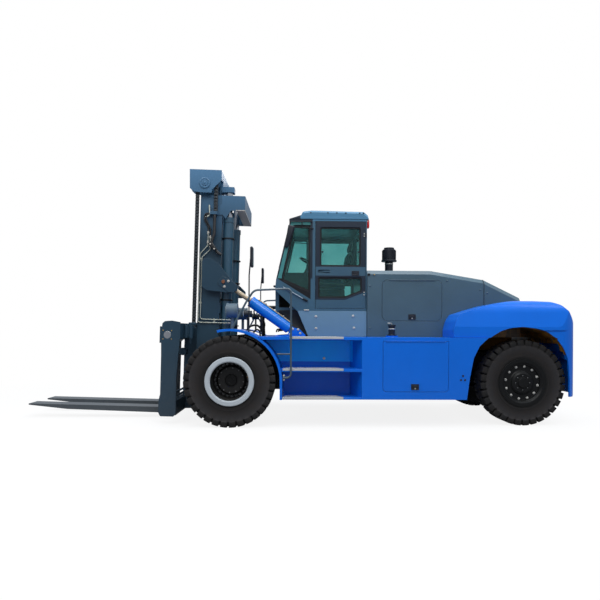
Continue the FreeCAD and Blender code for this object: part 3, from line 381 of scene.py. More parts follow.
front_rubber = rubber("front_rubber", axle)
rear_rubber = rubber("rear_rubber", steer)
for name, side in SIDES:
    wheels = "front_%s_wheels" % name
    low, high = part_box("front_%s_tyres" % name)
    width = (high.y - low.y - TWIN_GAP) / 2
    outside, inside = (high.y, low.y)[::side]
    outer = build_tyre("front_%s_outer_tyre" % name, axle, outside - side * width / 2, width,
                       front_rubber, wheels)
    build_tyre("front_%s_inner_tyre" % name, axle, inside + side * width / 2, width, front_rubber, wheels)
    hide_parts("front_%s_tyres" % name)
    low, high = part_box("rear_%s_tyre" % name)
    rear = build_tyre("rear_%s_worn_tyre" % name, steer, (low.y + high.y) / 2, high.y - low.y, rear_rubber,
                      "rear_%s_wheel" % name)
    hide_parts("rear_%s_tyre" % name)

# ---- Rims, wheel nuts and hubs -----------------------------------------------------------------
# Pressed steel rims: silver on the drive wheels with a black dish, all black on the steer wheels.
# Each dish is bolted to its hub with flanged nuts on studs; the front valve stem is brass.
UP = Vector((0, 0, 1))
BACK = Vector((-1, 0, 0))
ACROSS = Vector((0, 1, 0))
FRONT_NUT_RING = 0.251
FRONT_HUB_RING = 0.186
REAR_BOLT_RING = 0.250
REAR_HUB_RING = 0.108


def region(owner, place, walls):
    """One where a point lies past every wall, each given as a direction and a least distance."""
    share = 1.0
    for direction, least in walls:
        along = node(owner, "VectorMath", place, direction, operation="DOT_PRODUCT").outputs["Value"]
        share = product(owner, node(owner, "Math", along, least, operation="GREATER_THAN"), share)
    return share


def inside_ring(centre, radius, colour, *walls):
    """A second colour within a radius of an axle, and within the walls if any are given."""
    def patch(made, place, last):
        near = node(made, "Math", wheel_radius(made, place, centre), radius, operation="LESS_THAN")
        return over(made, last, product(made, near, region(made, place, walls)), colour)
    return patch


def sink(piece, axis, *steps, where="face"):
    """In edit mode, insets the faces that look along an axis, at both its ends, or round it."""
    tests = {"face": lambda lean: lean > 0.9, "ends": lambda lean: abs(lean) > 0.9,
             "round": lambda lean: abs(lean) < 0.1}
    bpy.ops.object.mode_set(mode="EDIT")
    pick(piece, lambda place, normal: tests[where](normal.dot(axis)))
    inset(*steps)


def draw_out(x, y, z):
    """Extrudes the picked faces along a move."""
    bpy.ops.mesh.extrude_region_move(TRANSFORM_OT_translate={"value": (x, y, z)})


def facing(place, direction):
    """Matrix that sets a piece modelled upright at the origin at a place, facing a direction."""
    return Matrix.Translation(place) @ Vector(direction).to_track_quat("Z", "Y").to_matrix().to_4x4()


def unite(first, *others):
    """Joins finished shapes into the first."""
    object_mode()
    bpy.ops.object.select_all(action="DESELECT")
    for piece in (first, *others):
        piece.select_set(True)
    bpy.context.view_layer.objects.active = first
    bpy.ops.object.join()
    return first


def spread(piece, places):
    """Copies one modelled piece to each place, a matrix, and joins the copies with it."""
    object_mode()
    model = piece.data.copy()
    copies = []
    for place in places[1:]:
        copy = piece.copy()
        copy.data = model.copy()
        copy.data.transform(place)
        bpy.context.collection.objects.link(copy)
        copies.append(copy)
    piece.data.transform(places[0])
    return unite(piece, *copies)


def finish(piece, axis, steps, material, body, soft=None, places=None, where="face"):
    """Sinks a piece's faces, rounds its edges, copies it to its places and settles it."""
    sink(piece, axis, *steps, where=where)
    if soft:
        soften(piece, *soft)
    if places:
        spread(piece, places)
    return settle(piece, material, body)


def soften(piece, width, segments=2):
    """Rounds a piece's sharp edges."""
    object_mode()
    apply_modifier(piece, "BEVEL", width=width, segments=segments, limit_method="ANGLE")


def bolts(name, radius, height, places, material, body, washer=1.55, stud=0.0):
    """Hexagon heads with chamfered tops on round washers: one is modelled and copied to its places."""
    head = drum(name, radius, height, 6, (0, 0, height / 2 + radius * 0.2))
    sink(head, UP, (radius * 0.16, radius * 0.12))
    if stud:
        inset((radius * 0.26, 0))
        draw_out(0, 0, stud)
    plate = drum(name + "_washer", radius * washer, radius * 0.3, 14, (0, 0, radius * 0.10))
    sink(plate, UP, (radius * 0.08, radius * 0.05))
    return settle(spread(unite(head, plate), places), material, body)


def round_places(centre, radius, y, count, side, start=0.0):
    """Places round a wheel's axis at one distance, all facing outwards."""
    turns = [start + math.tau * number / count for number in range(count)]
    return [facing((centre.x + radius * math.cos(turn), side * y, centre.z + radius * math.sin(turn)),
                   ACROSS * side) for turn in turns]


rim_silver = paint("rim_silver", (0.41, 0.455, 0.49), rough=0.42, dust=0.05, wear=0.2,
                   patch=inside_ring(axle, 0.2835, (0.006, 0.007, 0.008)))
rim_black = paint("rim_black", (0.0045, 0.005, 0.0055), rough=0.36, dust=0.01, shine=0.18)
nut_grey = paint("nut_grey", (0.20, 0.21, 0.22), rough=0.42, metal=0.35, dust=0.2)
zinc_bolt = paint("zinc_bolt", (0.52, 0.51, 0.48), rough=0.32, metal=0.6, dust=0.05, wear=0.1)
brass = paint("brass", (0.42, 0.27, 0.10), rough=0.35, metal=0.8, dust=0.05)
finish_nodes(rim_silver, "front_left_rims", "front_right_rims")
finish_nodes(rim_black, "rear_left_rim", "rear_right_rim")
for name, side in SIDES:
    front = "front_%s_wheels" % name
    rear = "rear_%s_wheel" % name
    bolts("front_%s_wheel_nuts" % name, 0.0185, 0.024, round_places(axle, FRONT_NUT_RING, 1.137, 24, side),
          nut_grey, front, stud=0.018)
    bolts("front_%s_hub_bolts" % name, 0.0070, 0.008,
          round_places(axle, FRONT_HUB_RING, 1.2385, 12, side, 0.13), nut_grey, front)
    plug_disc = drum("front_%s_hub_plug" % name, 0.092, 0.024, 40, (axle.x, side * 1.25, axle.z), ALONG_Y)
    finish(plug_disc, ACROSS * side, ((0.012, 0.008), (0.030, 0), (0.006, -0.008)), rim_black, front)
    stem = drum("front_%s_valve" % name, 0.016, 0.05, 12,
                (axle.x - side * 0.249, side * 1.178, axle.z + 0.05), ALONG_Y)
    sink(stem, ACROSS * side, (0.007, 0))
    draw_out(-0.02 * side, side * 0.10, 0.004)
    inset((-0.003, 0))
    draw_out(-0.004 * side, side * 0.022, 0)
    settle(stem, brass, front)
    bolts("rear_%s_wheel_bolts" % name, 0.0130, 0.018,
          round_places(steer, REAR_BOLT_RING, 1.2305, 12, side, 0.17), zinc_bolt, rear, stud=0.008)
    bolts("rear_%s_hub_bolts" % name, 0.0050, 0.006, round_places(steer, REAR_HUB_RING, 1.2755, 8, side),
          nut_grey, rear)

# ---- Side boxes, doors and fenders -------------------------------------------------------------
# Welded sheet steel in glossy blue. Each box door hangs on a piano hinge and shuts on a black
# paddle latch with its key; rubber plugs close three drain holes near the rear arch.
BOX_SIDE = 1.480
BODY_BLUE = (0.0, 0.122, 0.60)
BODY_GLOSS = {"rough": 0.30, "coat": 0.12, "dust": 0.012, "wear": 0.3, "shine": 0.22}


def from_axle(x, y, z):
    """A point given by its distance ahead of the drive axle, its side distance and its height."""
    return Vector((x + axle.x, y, z))


def ahead_of(x):
    return -BACK, axle.x + x


def behind(x):
    return BACK, -(axle.x + x)


def higher(z):
    return UP, z


def lower(z):
    return -UP, -z


def within(y):
    """Two walls, one on each side of the middle."""
    return (ACROSS, -y), (-ACROSS, -y)


def areas(*layers):
    """A patch that lays each colour between its own walls, one after another."""
    def patch(made, place, last):
        for colour, *walls in layers:
            last = over(made, last, region(made, place, walls), colour)
        return last
    return patch


def on_side(side, y, *spots):
    """Places on an outer wall, facing outwards, each spot given ahead of the axle and in height."""
    return [facing(from_axle(x, side * y, z), ACROSS * side) for x, z in spots]


def slab(name, scale, location=(0, 0, 0)):
    return start_piece(name, bpy.ops.mesh.primitive_cube_add, size=1, scale=scale, location=location)


def latch(name, x, y, z, side, body):
    """A square pan with a lifting paddle, and a key in its lock."""
    pan = slab(name, (0.118, 0.010, 0.086), from_axle(x, side * (y + 0.003), z))
    finish(pan, ACROSS * side, ((0.009, 0), (0.003, -0.005), (0.006, 0), (0.002, 0.006)), black_plastic, body,
           soft=(0.0018,))
    lock = drum(name + "_key", 0.010, 0.012, 16, from_axle(x, side * (y + 0.008), z - 0.022), ALONG_Y)
    sink(lock, ACROSS * side, (0.003, -0.002), (0.0045, 0))
    draw_out(0, side * 0.020, 0)
    bpy.ops.transform.resize(value=(0.5, 1, 3.0))
    settle(lock, zinc_bolt, body)


black_plastic = paint("black_plastic", (0.008, 0.011, 0.018), rough=0.42, dust=0.0)
# Painted light: the upper deck recess is painted a much lighter blue in place of the light that does not
# reach it.
painted_light_recess = areas(((0.0, 0.40, 1.0), *within(1.12), higher(0.950), lower(1.275), behind(0), ahead_of(-2.10)))
fender_inside = inside_ring(axle, 0.7645, (0.160, 0.080, 0.015), *within(1.4845))
blue_paint = paint("blue_paint", BODY_BLUE, grain=0.05, patch=painted_light_recess, **BODY_GLOSS)
fender_blue = paint("fender_blue", BODY_BLUE, grain=0.05, patch=fender_inside, **BODY_GLOSS)
finish_nodes(blue_paint, "left_side_box", "right_side_box", "left_box_door", "right_box_door")
finish_nodes(fender_blue, "front_fenders")
for name, side in SIDES:
    latch(name + "_box_latch", -2.743, BOX_SIDE, 0.602, side, name + "_box_door")
    finish(drum(name + "_drain_plugs", 0.015, 0.008, 16, (0, 0, 0.001)), UP,
           ((0.004, 0.002), (0.003, -0.004)), black_plastic, "chassis",
           places=on_side(side, BOX_SIDE, (-3.459, 0.768), (-3.429, 0.708), (-3.489, 0.708)))
    bolts(name + "_recess_union", 0.022, 0.022, on_side(side, 1.003, (-1.416, 1.0)), zinc_bolt, "chassis",
          stud=0.014)
    bolts(name + "_bracket_bolts", 0.013, 0.011,
          on_side(side, 0.772, (-1.045, 1.385), (-0.880, 1.365), (-0.925, 1.452), (-1.01, 1.445)), zinc_bolt,
          "chassis")

# ---- Chequer treads ----------------------------------------------------------------------------
# Bright aluminium plates on the steps and the deck, with raised bars rolled into their tops.
# The bars lie crosswise in turn, and the folded front edges carry one row of them.
BAR_PITCH = 0.042
TREAD_ROWS = 5
ROW_PITCH = 0.048
FIRST_ROW = 1.262
TREAD_REAR = -1.61
EDGE_PITCH = 0.045
EDGE_LENGTH = 0.82
EDGE_SIDE = 1.4855
tread_steel = paint("tread_steel", (0.50, 0.51, 0.52), rough=0.38, metal=0.35, dust=0.06, wear=0.1)
finish_nodes(tread_steel, "step_treads")


def crosswise(number):
    """Turns every other bar the other way."""
    return Matrix.Rotation(math.radians(45 if number % 2 else -45), 4, "Z")


for name, side in SIDES:
    bars = slab(name + "_tread_bars", (0.030, 0.009, 0.004))
    sink(bars, UP, (0.0025, 0.001))
    sink(bars, -UP)
    bpy.ops.mesh.delete(type="FACE")
    places = []
    for top, front in ((0.448, -0.83), (0.870, -0.83), (1.340, -0.93)):
        for row in range(TREAD_ROWS):
            y = side * (FIRST_ROW + row * ROW_PITCH)
            for number in range(int((front - TREAD_REAR) / BAR_PITCH)):
                spot = from_axle(front - number * BAR_PITCH - 0.012, y, top + 0.001)
                places.append(Matrix.Translation(spot) @ crosswise(row + number))
        for number in range(int(EDGE_LENGTH / EDGE_PITCH)):
            spot = from_axle(front + 0.03 - number * EDGE_PITCH, side * EDGE_SIDE, top - 0.018)
            places.append(facing(spot, ACROSS * side) @ crosswise(number) @ Matrix.Scale(0.6, 4))
    spread(bars, places)
    settle(bars, tread_steel, "chassis")

# ---- Handrails and mirrors ---------------------------------------------------------------------
# Bent steel tube in grey powder coat, welded to the fender and to the box beside the steps.
# The mirror heads are black plastic shells on thin stalks, each with a silvered glass.
tube_paint = paint("tube_paint", (0.045, 0.075, 0.10), rough=0.32, coat=0.2, dust=0.0, shine=0.5)
finish_nodes(tube_paint, "handrails")
finish_nodes(black_plastic, "mirrors")
silvered = paint("silvered", (0.72, 0.74, 0.76), rough=0.04, metal=1.0, dust=0.0, wear=0.0, grain=0.01)
for name, side in SIDES:
    finish(slab(name + "_mirror_glass", (0.006, 0.118, 0.266), from_axle(-0.3385, side * 1.440, 2.512)), BACK,
           ((0.006, 0.0015), (0.022, 0.0010)), silvered, "chassis", soft=(0.002, 1))
    bolts(name + "_rail_bolts", 0.011, 0.010, on_side(side, 1.486, (-0.800, 0.705), (-0.800, 0.765)),
          zinc_bolt, "chassis")

# ---- Counterweight -----------------------------------------------------------------------------
# Thick cast slabs filled smooth and sprayed blue, with a tow pocket and a pin behind.
# The wheel wells are left rough and rusty brown; two round lamps are let into the tail.
WELL_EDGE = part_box("counterweight")[1].y - 0.032
TAIL = -5.250
LAMP_SIDE = 0.86
LAMP_HEIGHT = 1.22


def rusted(*walls):
    """A patch of rust-brown steel with dark runs, wherever a point lies past the walls."""
    def patch(made, place, last):
        runs = node(made, "Mapping", place, Scale=(9.0, 9.0, 1.2))
        streak = node(made, "TexNoise", runs, Scale=1.6, Detail=5.0, Roughness=0.7)
        rust = ramp(made, streak, (0.42, (0.085, 0.042, 0.009)), (0.62, (0.330, 0.145, 0.014)))
        return node(made, "MixRGB", region(made, place, walls), last, rust)
    return patch


def beyond(direction, point, margin=0.0):
    """A slanting wall through a point, moved out by a margin."""
    return direction, Vector(direction).dot(point) + margin


rough_wells = rusted(*within(WELL_EDGE), lower(1.508), ahead_of(-5.04), behind(-3.60),
                     beyond((0.35, 0, 1), from_axle(-5.10, 0, 0.86)))
ballast_blue = paint("ballast_blue", BODY_BLUE, grain=0.06, patch=rough_wells, **BODY_GLOSS)
finish_nodes(ballast_blue, "counterweight")
lamp_red = paint("lamp_red", (0.45, 0.010, 0.008), rough=0.15, coat=0.6, dust=0.0, wear=0.0, shine=0.5)
for name, side in SIDES:
    spot = from_axle(TAIL, side * LAMP_SIDE, LAMP_HEIGHT)
    finish(drum(name + "_tail_lamp_ring", 0.068, 0.012, 40, spot, ALONG_X), BACK,
           ((0.009, 0.004), (0.004, -0.006)), black_plastic, "chassis", soft=(0.002,))
    finish(drum(name + "_tail_lamp_lens", 0.055, 0.006, 40, spot + BACK * 0.002, ALONG_X), BACK,
           [(0.011, rise) for rise in (0.0025, 0.0018, 0.001, 0.0005)], lamp_red, "chassis")

# ---- Liners over the rear wheels ---------------------------------------------------------------
# Flat rusty plates between the wheel arches and the engine keep spray off the belts.
# Each has a raised border pressed round it.
liner_rust = paint("liner_rust", (0.22, 0.095, 0.010), rough=0.8, dust=0.05, wear=0.6, shine=0.2)
for name, side in SIDES:
    finish(slab(name + "_arch_liner", (0.640, 0.006, 0.300), from_axle(-4.310, side * 0.340, 1.270)), ACROSS,
           ((0.020, 0), (0.003, -0.0015)), liner_rust, "chassis", where="ends")

# ---- Engine hood -------------------------------------------------------------------------------
# Folded steel hood in satin grey, made in two lengths that meet on a rubber bead at the slope.
# A hatch on each side lifts on a piano hinge; the air filter and oil filler are black plastic.
HOOD_SIDE = 0.800
VANES = 28


def line(side, *points):
    """A line of points given from the drive axle, on one side."""
    return [from_axle(x, side * y, z) for x, y, z in points]


def tube(name, points, radius, material, body, order=3, sides=3):
    """A round bar or hose along a smooth line through the given points."""
    object_mode()
    bpy.ops.object.select_all(action="DESELECT")
    bpy.ops.curve.primitive_nurbs_path_add()
    bar = bpy.context.object
    bar.name = name
    bar.data.splines.clear()
    spline = bar.data.splines.new("NURBS")
    spline.points.add(len(points) - 1)
    for knot, point in zip(spline.points, points):
        knot.co = (*point, 1)
    spline.order_u = order
    spline.use_endpoint_u = True
    spline.resolution_u = 6
    bar.data.bevel_depth = radius
    bar.data.bevel_resolution = sides
    bar.data.use_fill_caps = True
    bpy.ops.object.convert(target="MESH")
    return settle(bpy.context.object, material, body, 50)


hood_paint = paint("hood_paint", (0.046, 0.090, 0.122), rough=0.34, coat=0.25, dust=0.01, grain=0.10,
                   shine=0.4, patch=rusted(lower(1.500), behind(-3.66)))
seal_rubber = paint("seal_rubber", (0.005, 0.006, 0.008), rough=0.6, dust=0.0, wear=0.0)
finish_nodes(hood_paint, "engine_hood", "left_hood_hatch", "right_hood_hatch")
finish_nodes(black_plastic, "pre_cleaner")
half = [(-3.998, y, z) for y, z in ((0.8015, 1.46), (0.8015, 1.80), (0.8015, 2.185), (0.790, 2.212),
                                    (0.752, 2.254), (0.735, 2.265), (0.40, 2.2655))]
tube("hood_bead", line(1, *half) + line(-1, *reversed(half)), 0.0045, seal_rubber, "chassis",
     order=2, sides=1)
for name, side in SIDES:
    latch(name + "_hatch_latch", -2.836, HOOD_SIDE, 1.656, side, name + "_hood_hatch")
    finish(drum(name + "_hood_stay_hole", 0.022, 0.006, 20, from_axle(-2.141, side * 0.801, 2.330), ALONG_Y),
           ACROSS * side, ((0.006, 0.001), (0.004, -0.005)), black_plastic, "chassis")
    pull = drum(name + "_hood_pull", 0.010, 0.016, 20, from_axle(-2.225, side * 0.806, 2.330), ALONG_Y)
    sink(pull, ACROSS * side, (-0.008, 0))
    draw_out(0, side * 0.012, 0)
    inset((0.005, 0.004))
    settle(pull, brass, "chassis")
    bolts(name + "_hood_screws", 0.010, 0.008,
          on_side(side, HOOD_SIDE, (-2.16, 1.48), (-2.16, 2.15), (-3.94, 2.10), (-4.05, 2.05),
                  (-3.40, 2.24)), hood_paint, "chassis")
cleaner = Matrix.Translation(from_axle(-2.545, 0.300, 2.712))
finish(slab("pre_cleaner_vanes", (0.012, 0.005, 0.150), (0.110, 0, 0)), -BACK, ((0.0012, 0.002),),
       black_plastic, "chassis",
       places=[cleaner @ Matrix.Rotation(math.tau * number / VANES, 4, "Z") for number in range(VANES)])
finish(drum("pre_cleaner_clamp", 0.0705, 0.018, 48, from_axle(-2.545, 0.300, 2.560)), UP, ((0.003, 0.0015),),
       zinc_bolt, "chassis", where="round")
tube("filler_lever", line(1, (-2.450, 1.150, 1.528), (-2.450, 1.150, 1.545), (-2.430, 1.165, 1.552),
                          (-2.380, 1.195, 1.548)), 0.007, zinc_bolt, "chassis")
finish(drum("filler_band", 0.0525, 0.016, 40, from_axle(-2.450, 1.150, 1.462)), UP, ((0.003, 0.0015),),
       zinc_bolt, "chassis", where="round")

# ---- Cab shell, roof and base ------------------------------------------------------------------
# Pressed and welded steel cab in grey-blue, with a lighter roof cap screwed down along its edge.
# The plain panel under the cab is held by four flanged bolts; a stop lamp sits behind on each side.
SILL_TOP = 2.262
FRONT_POST = -1.236
ROOF_BLUE = (0.050, 0.160, 0.270)
DOOR_NAVY = (0.010, 0.018, 0.032)
FRAME_NAVY = (0.008, 0.016, 0.028)
TINTED = (0.042, 0.190, 0.190)
SEAL_BLACK = (0.003, 0.004, 0.006)
SCREEN = (-0.974, 0, -0.226)
SILL = (-0.526, 0, 0.850)
door_bands = areas((DOOR_NAVY, higher(2.452)),
                   (DOOR_NAVY, higher(1.925), lower(2.312),
                    beyond((0.3613, 0, 0.9324), from_axle(-1.760, 0, 1.925))))
window_surround = areas((FRAME_NAVY, higher(SILL_TOP), ahead_of(FRONT_POST)),
                        (TINTED, beyond(SCREEN, from_axle(-0.654, 0, 2.240), 0.022), ahead_of(-1.200),
                         higher(SILL_TOP), lower(3.176)),
                        (SEAL_BLACK, beyond(SILL, from_axle(-0.672, 0, SILL_TOP)), lower(SILL_TOP),
                         ahead_of(-1.208), higher(1.930)),
                        (ROOF_BLUE, higher(3.186), behind(FRONT_POST)))
dark_peak = areas((FRAME_NAVY, ahead_of(-1.040), lower(3.275)))
cab_paint = paint("cab_paint", (0.034, 0.088, 0.136), rough=0.36, coat=0.15, dust=0.01, shine=0.3,
                  patch=window_surround)
roof_paint = paint("roof_paint", ROOF_BLUE, rough=0.36, dust=0.0, shine=0.3, patch=dark_peak)
panel_paint = paint("panel_paint", (0.110, 0.205, 0.290), rough=0.40, dust=0.03, grain=0.06, shine=0.3)
door_paint = paint("door_paint", (0.034, 0.082, 0.125), rough=0.36, dust=0.0, patch=door_bands)
finish_nodes(cab_paint, "cab_shell")
finish_nodes(roof_paint, "cab_roof")
finish_nodes(panel_paint, "cab_base")
finish_nodes(door_paint, "left_cab_door", "right_cab_door")
pale_bolt = paint("pale_bolt", (0.48, 0.46, 0.42), rough=0.4, metal=0.2, dust=0.0, wear=0.1)
strut_grey = paint("strut_grey", (0.20, 0.24, 0.27), rough=0.25, metal=0.5, dust=0.0)
for name, side in SIDES:
    bolts(name + "_panel_bolts", 0.014, 0.011,
          on_side(side, 0.780, (-1.296, 1.656), (-1.890, 1.667), (-1.297, 1.464), (-1.907, 1.475)), pale_bolt,
          "chassis", washer=1.5)
    bolts(name + "_roof_screws", 0.0075, 0.006,
          [facing(from_axle(x, side * 0.775, 3.318), (0, side, 0.02))
           for x in (-1.205, -1.479, -1.623, -1.768, -1.992, -2.050)], seal_rubber, "chassis")
    for part, x0, z0, x1, z1 in (("upper", -0.872, 3.161, -1.216, 3.170),
                                 ("lower", -0.850, 3.081, -1.241, 3.061),
                                 ("link", -1.064, 3.163, -1.065, 3.067)):
        guard = line(side, (x0, 0.782, z0), (x0, 0.800, z0), (x1, 0.800, z1), (x1, 0.782, z1))
        tube("%s_guard_%s" % (name, part), guard, 0.008, seal_rubber, "chassis", order=2)
    strut = line(side, (-0.767, 0.800, 2.122), (-0.90, 0.802, 2.046), (-1.090, 0.802, 1.937))
    tube(name + "_gas_strut", strut, 0.011, strut_grey, "chassis")
    socket = line(side, (-1.085, 0.800, 1.940), (-1.12, 0.800, 1.920), (-1.158, 0.790, 1.900))
    tube(name + "_strut_end", socket, 0.015, seal_rubber, "chassis")
    shell = slab(name + "_pillar_mirror", (0.112, 0.090, 0.360))
    sink(shell, -UP)
    bpy.ops.transform.resize(value=(0.5, 0.7, 1))
    soften(shell, 0.022, 4)
    shell.data.transform(Matrix.Translation(from_axle(-0.858, side * 0.812, 2.925)) @
                         Matrix.Rotation(math.radians(-14), 4, "Y"))
    settle(shell, black_plastic, "chassis")
    finish(slab(name + "_stop_lamp", (0.034, 0.070, 0.130), from_axle(-2.128, side * 0.720, 3.150)), BACK,
           ((0.010, 0.004), (0.012, 0.003)), lamp_red, "chassis", soft=(0.004,))
    finish(slab(name + "_cab_foot_catch", (0.085, 0.012, 0.018), from_axle(-1.143, side * 0.785, 1.757)),
           ACROSS * side, ((0.004, 0.003),), pale_bolt, "chassis")
    shield = slab(name + "_nose_shield", (0.480, 0.006, 0.420), from_axle(-0.940, side * 0.600, 1.550))
    bpy.ops.object.mode_set(mode="EDIT")
    bpy.ops.mesh.bisect(plane_co=from_axle(-0.700, 0, 1.600), plane_no=(0.55, 0, -0.83), clear_outer=True,
                        use_fill=True)
    finish(shield, ACROSS, ((0.018, 0), (0.003, -0.0015)), black_plastic, "chassis",
           where="ends")
knob = start_piece("cab_nose_stop", bpy.ops.mesh.primitive_uv_sphere_add, segments=16, ring_count=10,
                   radius=0.020, location=from_axle(-0.628, 0.70, 2.140))
bpy.ops.object.mode_set(mode="EDIT")
pick(knob, lambda place, normal: normal.x < -0.6)
draw_out(-0.012, 0, 0)
settle(knob, black_plastic, "chassis")

# ---- Windows and doors -------------------------------------------------------------------------
# Tinted safety glass set in black rubber seals that stand a little proud of the panes.
# Each door has two black stay knobs inside its pane, a lock box and hinge pins.
PANE_SIDE = 0.7
window_glass, pane, pane_place = blank("window_glass")
pane_cloud = node(window_glass, "TexNoise", pane_place, Scale=2.2, Detail=3.0)
pane_tint = ramp(window_glass, pane_cloud, (0.35, (0.22, 0.50, 0.50)), (0.65, (0.32, 0.60, 0.58)))
plug(pane, Base_Color=pane_tint, Transmission_Weight=0.95, Roughness=0.02, IOR=1.15)
finish_nodes(window_glass, "cab_glass", "left_door_glass", "right_door_glass")


def seal(name, glass, outward, body, chosen=lambda across: True, width=0.026):
    """Rubber seal on the outer faces of a pane: its middle is cut away and its rim thickened."""
    bpy.ops.object.select_all(action="DESELECT")
    piece = frame["nodes"][glass].copy()
    piece.data = piece.data.copy()
    bpy.context.collection.objects.link(piece)
    piece.name = name
    piece.parent = None
    bpy.context.view_layer.objects.active = piece
    piece.select_set(True)
    bpy.ops.object.mode_set(mode="EDIT")
    bpy.ops.mesh.select_all(action="SELECT")
    bpy.ops.mesh.remove_doubles(threshold=0.0001)
    bpy.ops.mesh.dissolve_limited(angle_limit=math.radians(1))
    pick(piece, lambda place, normal: normal.dot(outward) <= 0.9 or not chosen(abs(place.y)))
    bpy.ops.mesh.delete(type="FACE")
    bpy.ops.mesh.select_all(action="SELECT")
    bpy.ops.mesh.inset(thickness=width)
    bpy.ops.mesh.delete(type="FACE")
    bpy.ops.object.mode_set(mode="OBJECT")
    apply_modifier(piece, "SOLIDIFY", thickness=0.010, offset=1)
    return settle(piece, seal_rubber, body)


for name, side in SIDES:
    door = name + "_cab_door"
    seal(name + "_side_seal", "cab_glass", ACROSS * side, "chassis", lambda across: across > PANE_SIDE)
    seal(name + "_door_seal", name + "_door_glass", ACROSS * side, door)
    trim = slab(name + "_lower_trim", (0.455, 0.006, 0.320), from_axle(-0.975, side * 0.742, 2.198))
    bpy.ops.object.mode_set(mode="EDIT")
    bpy.ops.mesh.bisect(plane_co=from_axle(-0.760, 0, 2.216), plane_no=(0.396, 0, -0.918), clear_outer=True,
                        use_fill=True)
    bpy.ops.mesh.select_all(action="SELECT")
    bpy.ops.mesh.normals_make_consistent(inside=False)
    settle(trim, seal_rubber, "chassis")
    knobs = drum(name + "_stay_knobs", 0.016, 0.018, 16, (0, 0, 0.009))
    sink(knobs, UP, (-0.006, 0))
    draw_out(0, 0, 0.012)
    inset((0.004, 0.004))
    spread(knobs, on_side(side, 0.760, (-1.395, 2.690), (-1.972, 2.690)))
    settle(knobs, black_plastic, door)
    finish(slab(name + "_lock_box", (0.120, 0.012, 0.074), from_axle(-1.924, side * 0.787, 2.351)),
           ACROSS * side, ((0.010, 0), (0.003, -0.005), (0.016, 0.004)), black_plastic, door,
           soft=(0.003,))
    finish(drum(name + "_hinge_screws", 0.009, 0.004, 12, (0, 0, 0.001)), UP, ((0.003, 0.002),), pale_bolt,
           door,
           places=on_side(side, 0.7872, *[(-2.064, z) for z in (2.006, 2.044, 2.946, 2.984)]))
seal("screen_seal", "cab_glass", -Vector(SCREEN), "chassis", lambda across: across < PANE_SIDE, 0.030)
seal("rear_seal", "cab_glass", BACK, "chassis", lambda across: across < PANE_SIDE, 0.030)
for part, y in (("left", 0.30), ("right", -0.30)):
    arm = line(1, (-0.664, y, SILL_TOP), (-0.668, y + 0.01, 2.330), (-0.724, y + 0.12, 2.600),
               (-0.760, y + 0.17, 2.740))
    blade = line(1, (-0.694, y + 0.165, 2.460), (-0.764, y + 0.170, 2.760), (-0.822, y + 0.175, 3.010))
    tube("wiper_arm_" + part, arm, 0.007, seal_rubber, "chassis")
    tube("wiper_blade_" + part, blade, 0.009, seal_rubber, "chassis")

# ---- Driver's seat, console and steering wheel -------------------------------------------------
# Foam pads in black cloth on a plastic base: a squab, a back and a headrest, each sewn with
# channels and inflated a little so that its faces crown between the seams.
SEAM_WIDTH = 0.020
seat_plastic = paint("seat_plastic", (0.012, 0.013, 0.015), rough=0.55, dust=0.0, wear=0.1)
finish_nodes(seat_plastic, "seat_base", "driver_console", "steering_wheel")
seat_cloth, cloth_shader, cloth_place = blank("seat_cloth")
weave = product(seat_cloth, *[
    node(seat_cloth, "TexWave", cloth_place, Scale=150.0, Distortion=1.2, bands_direction=way).outputs["Fac"]
    for way in ("X", "Z")])
cloth_tone = ramp(seat_cloth, weave, (0.0, (0.008, 0.009, 0.011)), (1.0, (0.030, 0.033, 0.038)))
plug(cloth_shader, Base_Color=cloth_tone, Roughness=0.92, Sheen_Weight=0.3,
     Normal=node(seat_cloth, "Bump", Strength=0.3, Distance=0.001, Height=weave))


def pad(name, middle, size, lean, limit):
    """A foam pad: rounded block, remeshed, inflated as cloth, then pinched at its sewn channels."""
    piece = slab(name, size)
    bpy.ops.object.mode_set(mode="EDIT")
    bpy.ops.mesh.subdivide(number_cuts=3)
    soften(piece, 0.030, 4)
    apply_modifier(piece, "REMESH", mode="VOXEL", voxel_size=0.011)
    before = [vertex.co.copy() for vertex in piece.data.vertices]
    cloth = piece.modifiers.new("cloth", "CLOTH")
    cloth.settings.use_pressure = True
    cloth.settings.uniform_pressure_force = 4
    cloth.settings.effector_weights.gravity = 0
    for number in range(1, 21):
        scene.frame_set(number)
    bpy.ops.object.modifier_apply(modifier="cloth")
    scene.frame_set(1)
    for vertex, start in zip(piece.data.vertices, before):
        moved = vertex.co - start
        if moved.length > limit:
            vertex.co = start + moved * (limit / moved.length)
    for vertex in piece.data.vertices:
        for seam in (-0.30, 0.30):
            near = abs(vertex.co.y - seam * size[1])
            if near < SEAM_WIDTH and abs(vertex.co.x) < size[0] * 0.46:
                vertex.co.z *= 1 - 0.16 * math.cos(near / SEAM_WIDTH * math.pi / 2)
    apply_modifier(piece, "SUBSURF", levels=1, render_levels=1)
    piece.data.transform(Matrix.Translation(middle) @ Matrix.Rotation(math.radians(lean), 4, "Y"))
    settle(piece, seat_cloth, "chassis", 60)
    return piece


